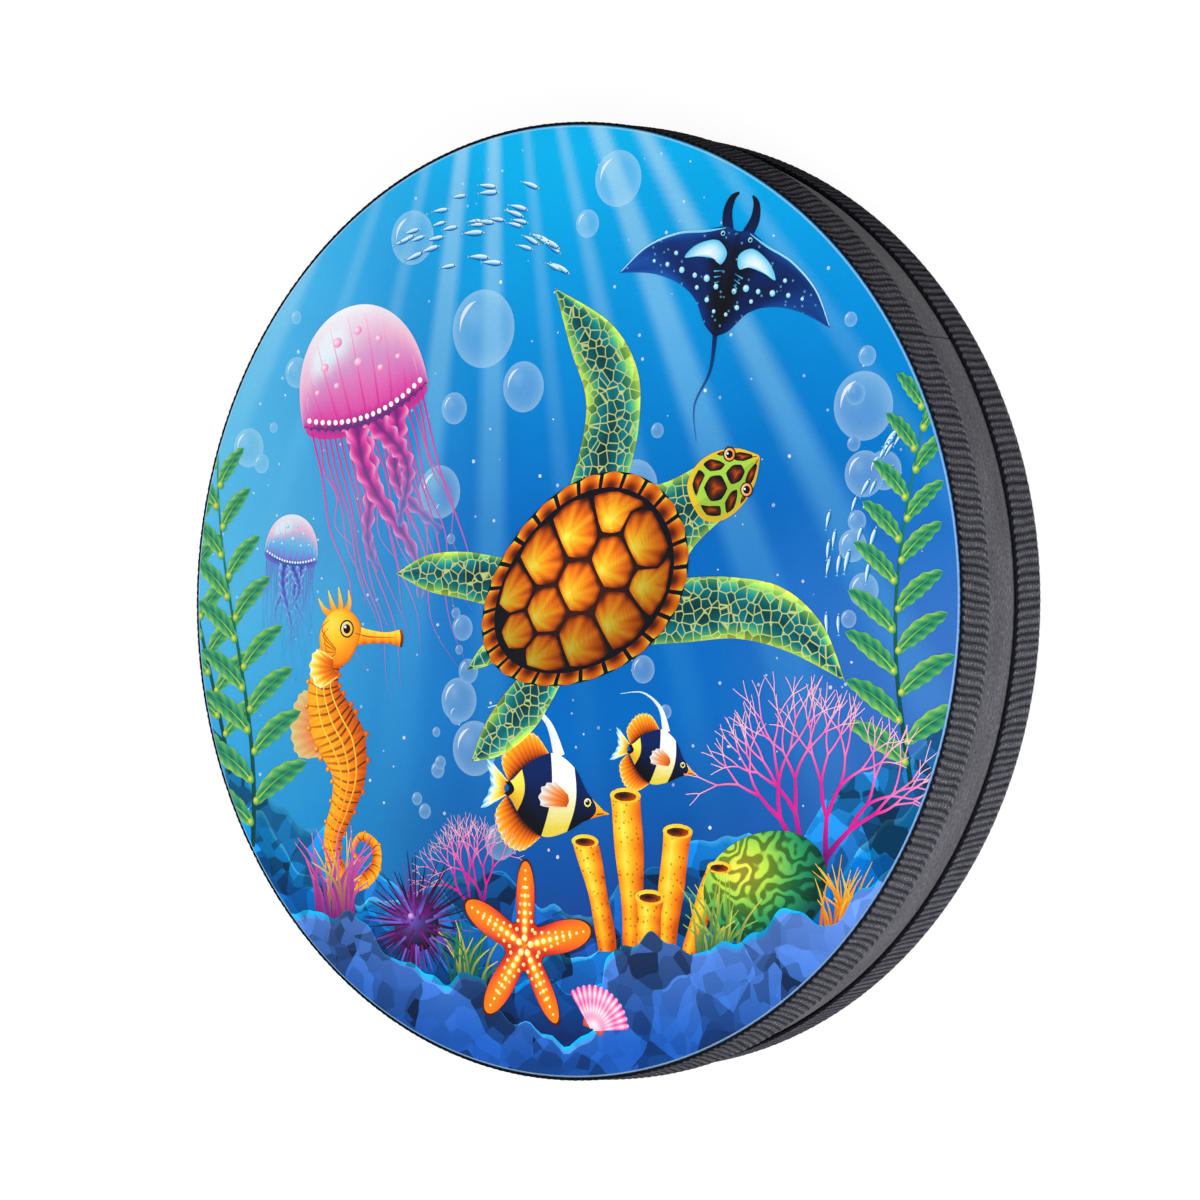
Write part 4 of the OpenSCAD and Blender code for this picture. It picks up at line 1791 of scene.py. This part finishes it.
    def scallop(self) -> Sketch:
        """Draws a scallop: ribs fan out from its hinge, banded along their length.

        Returns:
            Its sketch.
        """
        sketch = Sketch("scallop", (24, -182), -24, 0.9, 16)
        for ear in (-1, 1):
            outline = corners([(0, 1), (6 * ear, 0), (7 * ear, 5), (2 * ear, 7)])
            sketch.fill(outline, 11, 0, (0, PINK), (1, RUST))
        angle, out = np.meshgrid(np.linspace(-1.05, 1.05, 97), np.linspace(0.06, 1, 33))
        ribs = 0.5 + 0.5 * np.cos(13 * math.pi * angle / 1.05)
        reach = 21 * out * (1 + 0.045 * ribs * out**3)
        tone = 0.75 * (1 - ribs) * out + 0.3 * (0.5 + 0.5 * np.cos(19 * out)) + 0.15 * np.abs(angle)
        paint = tones(tone, (0, WHITE), (0.35, BLUSH), (0.75, PINK), (1.1, MAGENTA))
        sketch.lay(reach[..., None] * rays(angle)[..., ::-1], paint, 1)
        return sketch

    def kelp(self, at: tuple[float, float], turn: float, size: float, seed: int, lowest: int) -> Sketch:
        """Draws a kelp: a swaying stem with a float and a ruffled blade that bends away at each joint.

        Args:
            at, turn, size: its place.
            seed: what sets its stem apart.
            lowest: its lowest layer.

        Returns:
            Its sketch.
        """
        sketch = Sketch(f"kelp_{seed}", at, turn, size, lowest)
        t, s = np.linspace(0, 1, 60), np.linspace(0, 1, 34)
        stem = np.stack([9 * np.sin(4.2 * t + seed), 190 * t], 1)
        sketch.strand(stem, [2.6, 2.0, 1.2, 0.5], FOREST, GREEN, 1, 60)
        for k in range(17):
            share = 0.06 + 0.92 * k / 17
            base = stem[int(share * 59)]
            side = 1 if k % 2 else -1
            lean = math.radians(90 - side * (48 - 22 * share))
            path = base + np.cumsum(rays(lean - side * 0.5 * s), 0) * 40 * (1 - 0.45 * share) / 34
            width = 10.5 * np.sin(math.pi * np.clip(s * 0.94 + 0.05, 0, 1)) ** 0.7 * (1 - 0.35 * share)
            grid, along, across = ribbon(path, np.maximum(width + 0.7 * np.sin(30 * s), 0.3), 9)
            tone = np.abs(2 * across - 1) * 0.6 + 0.3 * np.sin(16 * along + 5 * across) ** 2 + 0.25 * across
            paint = tones(tone, (0, FOREST), (0.5, GREEN), (1.1, LIME))
            sketch.lay(grid, sketch.veil(grid, paint, 0.94), 0 if side > 0 else 2)
            sketch.strand(path[1:-3], [0.9, 0.5, 0.2], LIME, GREEN, 1 if side > 0 else 3, 20)
            sketch.glow(base[0] + side * 1.6, base[1] + 1.4, 2.0, 4, LEMON, GREEN, steps=9)
        return sketch

    def grass(self, at: tuple[float, float], size: float, seed: int, root: Ink, tip: Ink) -> Sketch:
        """Draws a tuft of thin blades that bend away from its middle.

        Args:
            at, size: its place.
            seed: what sets it apart.
            root, tip: inks at the foot and at most tips.

        Returns:
            Its sketch.
        """
        sketch, rng = Sketch(f"grass_{seed}", at, 0, size, 10), np.random.default_rng(seed)
        for k in range(34):
            x = rng.normal(0, 5)
            lean, tall = rng.uniform(-1, 1), rng.uniform(18, 40)
            top = (x + lean * tall * 0.62, tall * (1 - 0.25 * lean * lean))
            path = [(x, -3), (x + 0.2 * lean * tall, 0.5 * tall), top]
            sketch.strand(path, [1.9, 1.3, 0.25], root, tip if k % 3 else LEMON, k % 4)
        return sketch

    def draw(self) -> list[Sketch]:
        """Draws the reef, from the back.

        Returns:
            Its sketches.
        """
        return [
            *(rocks.draw(rank) for rank, rocks in enumerate(self.ranks)),
            self.kelp((-176, -112), 2, 1.0, 1, 6),
            self.kelp((-190, -80), 6, 0.9, 2, 1),
            self.kelp((180, -74), -1, 0.86, 3, 6),
            self.sea_fan((134, -122), -4, 0.92, 5),
            self.sea_fan((-36, -142), 12, 0.5, 9),
            self.sponges(),
            self.brain_coral(),
            self.urchin(),
            self.starfish(),
            self.scallop(),
            self.grass((88, -152), 1.0, 11, FOREST, LIME),
            self.grass((-118, -142), 1.1, 12, PLUM, PINK),
            self.grass((-44, -170), 0.9, 13, FOREST, GREEN),
            self.grass((150, -134), 0.8, 14, RUST, GOLD),
        ]


@dataclass
class Banded(Motif):
    """A tall banded fish, its nose along x, with a long streamer from its back fin."""

    name: str
    back: Points = ((33, -1), (22, 6), (12, 17), (-2, 22), (-16, 15), (-25, 5), (-30, 3))
    belly: Points = ((33, -3), (22, -8), (12, -15), (-2, -20), (-16, -14), (-25, -5), (-30, -3))
    bands: Sequence[tuple[float, float, Ink, Ink]] = (
        (0, 0.13, GOLD, ORANGE),
        (0.13, 0.34, NAVY, BLACK),
        (0.34, 0.52, WHITE, LEMON),
        (0.52, 0.74, NAVY, BLACK),
        (0.74, 0.88, LEMON, GOLD),
        (0.88, 1.0, BLACK, BLACK),
    )
    fin_inks: Sequence[tuple[float, Ink]] = ((0, BLACK), (0.25, RUST), (0.6, ORANGE), (1.0, GOLD), (1.2, WHITE))

    def draw(self) -> list[Sketch]:
        """Draws the streamer, the body band by band, each ruled from back to belly, the fins and the eye.

        Returns:
            The fish's sketch.
        """
        sketch = self.sketch(self.name)
        streamer = [(2, 21), (-8, 37), (-26, 44), (-46, 38)]
        sketch.strand(streamer, [7, 3.2, 1.2, 0.4], WHITE, FOAM, 0, 34, rows=5)
        back, belly = curve(self.back, 121), curve(self.belly, 121)
        for start, end, upper, lower in self.bands:
            part = slice(int(start * 120), int(end * 120) + 1)
            grid, _, across = ruled(back[part], belly[part], 19)
            grid = grid + np.stack([3.2 * np.sin(math.pi * across), 0 * across], -1)
            paint = tones(across + 0.5 * smooth(0.8, 1, across), (0, upper), (0.3, upper), (1, lower))
            sketch.lay(grid, paint * (1.12 - 0.35 * across[..., None]), 1)
        for way in (1, -1):
            root = [(-4, 20 * way), (-16, 14 * way), (-28, 3 * way)]
            edge = [(-4, 21 * way), (-15, 30 * way), (-27, 27 * way), (-34, 14 * way), (-28, 4 * way)]
            sketch.fin(root, edge, 15, 0, *self.fin_inks)
        sketch.fin(
            [(-28, 3.4), (-30, 0), (-28, -3.4)], [(-28, 3.6), (-43, 13), (-39, 0), (-43, -13), (-28, -3.6)], 11, 0,
            (0, ORANGE), (0.4, LEMON), (0.85, WHITE), (1.1, SKY),
        )
        sketch.fin(
            [(10, 3), (11, 0), (10, -3)], [(10, 3.2), (1, 8), (-7, 4), (-6, -5), (10, -3.2)], 8, 2,
            (0, RUST), (0.5, ORANGE), (1.1, WHITE), solid=0.85,
        )
        sketch.eye(22.5, 1.4, 2.6, 2, LEMON)
        sketch.strand([(33, -2.2), (29, -3.4)], [0.4, 0.6], UMBER, UMBER, 2, 5)
        return [sketch]


@dataclass
class Shoal:
    """A shoal of slim silver fish."""

    name: str
    at: tuple[float, float]
    turn: float
    count: int
    long: float
    seed: int

    def draw(self) -> list[Sketch]:
        """Draws the fish, strung along a bow and scattered across it: a body, a tail and an eye each.

        Returns:
            The shoal's sketch.
        """
        sketch, rng = Sketch(self.name, self.at, self.turn, lowest=4), np.random.default_rng(self.seed)
        for _ in range(self.count):
            along, across = rng.uniform(-1, 1), rng.normal(0, 0.42)
            middle = (46 * along, 15 * across * (1.2 - along**2) - 14 * along**2)
            step = rays(-0.45 * along + rng.uniform(-0.1, 0.1))
            long = self.long * rng.uniform(0.8, 1.2)
            side = np.array([-step[1], step[0]])
            line = np.linspace(0.5, -0.5, 13)[:, None] * long * step + middle
            grid, _, share = ribbon(line, long * np.array([0.02, 0.17, 0.24, 0.25, 0.21, 0.14, 0.06]))
            sketch.lay(grid, tones(share, (0, WHITE), (0.45, FOAM), (0.6, AZURE), (1, DEEP)), 0)
            tail = line[-1] + [(0.02, 0), (-0.2, 0.13), (-0.12, 0), (-0.2, -0.13)] @ (long * np.array([step, side]))
            sketch.fill(corners(tail, 0, 0.05, 4), 11, 1, (0, FOAM), (1, AZURE))
            sketch.dot(*(line[0] - step * long * 0.13 + side * 0.02 * long), 0.035 * long, BLACK, 2, 5)
        return [sketch]


@dataclass
class Drift:
    """Bubbles and bright specks adrift in the water."""

    streams: Points = ((-70, -92, 22, 16), (60, -60, -14, 8), (-158, 60, 16, 6), (146, -20, 12, 10))
    single: Points = (
        (-36, 118, 17), (-14, 92, 11), (-52, 84, 7), (-76, 160, 12), (158, 78, 14), (168, 52, 8), (-172, 70, 9),
        (-40, -64, 12), (-26, -104, 8), (36, 178, 12), (20, 160, 6),
    )

    def bubble(self, sketch: Sketch, x: float, y: float, radius: float) -> None:
        """Lays one bubble: the water a little paler, and a bright arc near its rim.

        Args:
            sketch: the bubbles.
            x, y: its middle.
            radius: its radius.
        """
        a, b = round_grid(9 if radius < 4 else 19)
        grid = np.stack([x + radius * a, y + radius * b], -1)
        pale = 0.16 + 0.2 * np.hypot(a, b) ** 4 + 0.12 * np.exp(-((a + 0.3) ** 2 + (b - 0.35) ** 2) / 0.1)
        sketch.lay(grid, sketch.veil(grid, FOAM.flat, pale), 0)
        arc = (x, y) + 0.76 * radius * rays(np.linspace(1.9, 3.2, 13))
        grid, _, _ = ribbon(arc, radius * np.array([0.01, 0.09, 0.11, 0.06, 0.01]), 3)
        sketch.lay(grid, sketch.veil(grid, WHITE.flat, 0.75), 1)

    def bubbles(self) -> Sketch:
        """Draws the streams, which rise along a sine and spread by chance, and the single bubbles.

        Returns:
            Their sketch.
        """
        sketch, rng = Sketch("bubbles", lowest=2), np.random.default_rng(31)
        for foot, start, drift, count in self.streams:
            for k in range(count):
                rise = k / count
                radius = rng.uniform(1.4, 3.6) + 9 * rng.random() ** 3 * (0.4 + rise)
                x = foot + drift * math.sin(3.1 * rise) + rng.uniform(-7, 7)
                self.bubble(sketch, x, start + 150 * rise**1.1 + rng.uniform(-3, 3), radius)
        for x, y, radius in self.single:
            self.bubble(sketch, x, y, radius)
        return sketch

    def specks(self) -> Sketch:
        """Draws tiny bright specks, spread evenly over the water by chance.

        Returns:
            Their sketch.
        """
        sketch, rng = Sketch("drifting_specks"), np.random.default_rng(77)
        for _ in range(260):
            angle, out = rng.uniform(0, TURN), 198 * math.sqrt(rng.random())
            x, y = out * rays(angle)
            if y > -110:
                grid = np.stack(round_grid(5), -1) * rng.uniform(0.25, 0.85) + (x, y)
                sketch.lay(grid, sketch.veil(grid, WHITE.flat, rng.uniform(0.25, 0.8)), 0)
        return sketch

    def draw(self) -> list[Sketch]:
        """Every sketch of what drifts."""
        return [self.specks(), self.bubbles()]


class SeaPrint:
    """The whole print: a reef scene of general motifs, from the back."""

    motifs = (
        Reef(),
        Drift(),
        Shoal("shoal_high", (-34, 164), -8, 34, 9.5, 3),
        Shoal("shoal_low", (150, 30), 70, 22, 8, 4),
        Banded((2, -84), -8, 0.86, 8, "banded_fish_near"),
        Banded((58, -66), -14, 0.56, 6, "banded_fish_far"),
        Manta((92, 133), -15, 0.78, 5),
        Jelly((-104, 92), 14, 0.98, 5, "jellyfish", 21),
        Jelly((-146, 22), -8, 0.42, 4, "jellyfish_far", 22, (DEEP, VIOLET, SKY), 0.8),
        Seahorse((-112, -62), 6, 0.98, 6),
        Turtle((20, 8), 30, 0.96, 9),
    )

    def build(self, face: float) -> None:
        """Draws every motif, then makes its pieces on the film's face, at a height in metres."""
        for sketch in [sketch for motif in self.motifs for sketch in motif.draw()]:
            sketch.make(face)


@dataclass
class Studio:
    """Floor, light and the camera at the photograph's viewing angle.

    Attributes:
        floor_grey: how much light the floor sends back.
        floor_white: glow added where the camera, or a mirror or glass, sees the floor.
        lamps: name, place, side in metres and power of each lamp.
    """

    eye: tuple[float, float, float] = (0.9132, -0.0104, 1.2669)
    turn_deg: float = 36.351
    nod_deg: float = 0.41
    roll_deg: float = 0.218
    lens: float = 106.08
    floor_side: float = 12.0
    floor_grey: float = 0.12
    floor_white: float = 0.92
    room_light: float = 0.14
    aim: tuple[float, float, float] = (0, 0, 0.03)
    lamps: tuple[tuple[str, tuple[float, float, float], float, float], ...] = (
        ("key", (0.7, -0.5, 2.3), 1.5, 30),
        ("front", (2.05, -0.95, 0.9), 1.6, 64),
        ("back", (-2.0, 0.4, 0.9), 1.6, 20),
    )

    def stand(self, name: str, data: bpy.types.ID) -> bpy.types.Object:
        """Stands a camera, a lamp or a mesh in the scene.

        Args:
            name: the object's name.
            data: what it shows.

        Returns:
            The object.
        """
        made = bpy.data.objects.new(name, data)
        bpy.context.scene.collection.objects.link(made)
        return made

    def camera(self) -> None:
        """Sets the camera: turned about the drum's Y axis, nodded and rolled a little."""
        data = bpy.data.cameras.new("camera")
        data.lens = self.lens
        data.sensor_width = 36
        data.clip_end = 50
        camera = self.stand("camera", data)
        x, y, z = (math.radians(t) for t in (self.nod_deg, self.turn_deg, self.roll_deg))
        basis = Euler((0, y, 0)).to_matrix() @ Euler((x, 0, 0)).to_matrix() @ Euler((0, 0, z)).to_matrix()
        camera.matrix_world = basis.to_4x4()
        camera.location = self.eye
        bpy.context.scene.camera = camera

    def floor(self) -> None:
        """Lays the pale floor, which shows as white and keeps the drum's shadow."""
        half = self.floor_side / 2
        mesh = bpy.data.meshes.new("floor")
        mesh.from_pydata([(-half, -half, 0), (half, -half, 0), (half, half, 0), (-half, half, 0)], [], [(0, 1, 2, 3)])
        material = bpy.data.materials.new("floor")
        material.use_nodes = True
        tree = material.node_tree
        tree.nodes.remove(tree.nodes["Principled BSDF"])
        matt = tree.nodes.new("ShaderNodeBsdfDiffuse")
        matt.inputs[0].default_value = (self.floor_grey, self.floor_grey, self.floor_grey, 1)
        glow = tree.nodes.new("ShaderNodeEmission")
        both = tree.nodes.new("ShaderNodeAddShader")
        tree.links.new(self.shown(tree, 0, self.floor_white), glow.inputs["Strength"])
        tree.links.new(matt.outputs[0], both.inputs[0])
        tree.links.new(glow.outputs[0], both.inputs[1])
        tree.links.new(both.outputs[0], tree.nodes["Material Output"].inputs["Surface"])
        mesh.materials.append(material)
        self.stand("floor", mesh)

    @staticmethod
    def shown(tree: bpy.types.NodeTree, lit: float, white: float) -> bpy.types.NodeSocket:
        """Wires a strength that differs where the camera, a mirror or glass sees it.

        Args:
            tree: the node tree.
            lit: strength for other rays.
            white: strength for those.

        Returns:
            The strength.
        """
        path = tree.nodes.new("ShaderNodeLightPath")
        seen = path.outputs["Is Camera Ray"]
        for ray in ("Is Glossy Ray", "Is Transmission Ray"):
            either = tree.nodes.new("ShaderNodeMath")
            either.operation = "MAXIMUM"
            tree.links.new(seen, either.inputs[0])
            tree.links.new(path.outputs[ray], either.inputs[1])
            seen = either.outputs[0]
        strength = tree.nodes.new("ShaderNodeMapRange")
        strength.inputs["To Min"].default_value = lit
        strength.inputs["To Max"].default_value = white
        tree.links.new(seen, strength.inputs["Value"])
        return strength.outputs[0]

    def light(self) -> None:
        """Sets a pale room, a key light overhead, and a large soft light at the front and one behind."""
        world = bpy.data.worlds.new("room")
        world.use_nodes = True
        room = world.node_tree.nodes["Background"].inputs
        room["Color"].default_value = (1, 1, 1, 1)
        world.node_tree.links.new(self.shown(world.node_tree, self.room_light, 1), room["Strength"])
        bpy.context.scene.world = world
        for name, place, side, watts in self.lamps:
            data = bpy.data.lights.new(name, "AREA")
            data.shape = "SQUARE"
            data.size = side
            data.energy = watts
            lamp = self.stand(name, data)
            lamp.location = place
            lamp.rotation_euler = (Vector(self.aim) - Vector(place)).to_track_quat("-Z", "Y").to_euler()

    def build(self) -> None:
        """Sets up the whole studio."""
        self.camera()
        self.floor()
        self.light()
        bpy.context.scene.view_settings.view_transform = "Standard"


def dress(frame: dict, material: bpy.types.Material, *nodes: str) -> None:
    """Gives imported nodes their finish.

    Args:
        material: the finish.
        nodes: the nodes' names.
    """
    for node in nodes:
        piece = frame["nodes"][node]
        piece.data.materials.clear()
        piece.data.materials.append(material)
        LOG.info("%s: packed piece, finish %s", node, material.name)


def main() -> None:
    """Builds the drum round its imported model."""
    logging.basicConfig(level=logging.INFO, format="%(name)s %(message)s")
    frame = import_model()
    Studio().build()
    head = PrintedHead(Ring.of(frame, "front_head"))
    yarn = CharcoalYarn().material()
    front, back = (Ring.of(frame, name) for name in ("front_webbing", "back_webbing"))
    front = replace(front, bottom=front.bottom - 0.8 * MM)
    proud = ((2.2 * MM, -62, 24), (2.0 * MM, 55, 20))
    Webbing("front_webbing", front, head.ring.bottom, 214, True, (0.2, 0.5), 0.55, proud).build(yarn)
    Webbing("back_webbing", back, Ring.of(frame, "back_head").top, 196, False, (-0.24, 0.0), 0.3).build(yarn)
    head.build()
    SeaPrint().build(head.face)
    Hoop(Ring.of(frame, "shell_hoop")).build(HoopFibre().material())
    dress(frame, BrushedWrap(Ring.of(frame, "shell_wrap").outer).material(), "shell_wrap")
    dress(frame, ClearFilm().material(), "back_head")
    dress(frame, CreamAdhesive().material(), *(node for node in frame["nodes"] if node.endswith("adhesive")))
    dress(frame, BeadSteel().material(), *(node for node in frame["nodes"] if node.startswith("bead_wave")))


if __name__ == "__main__":
    main()
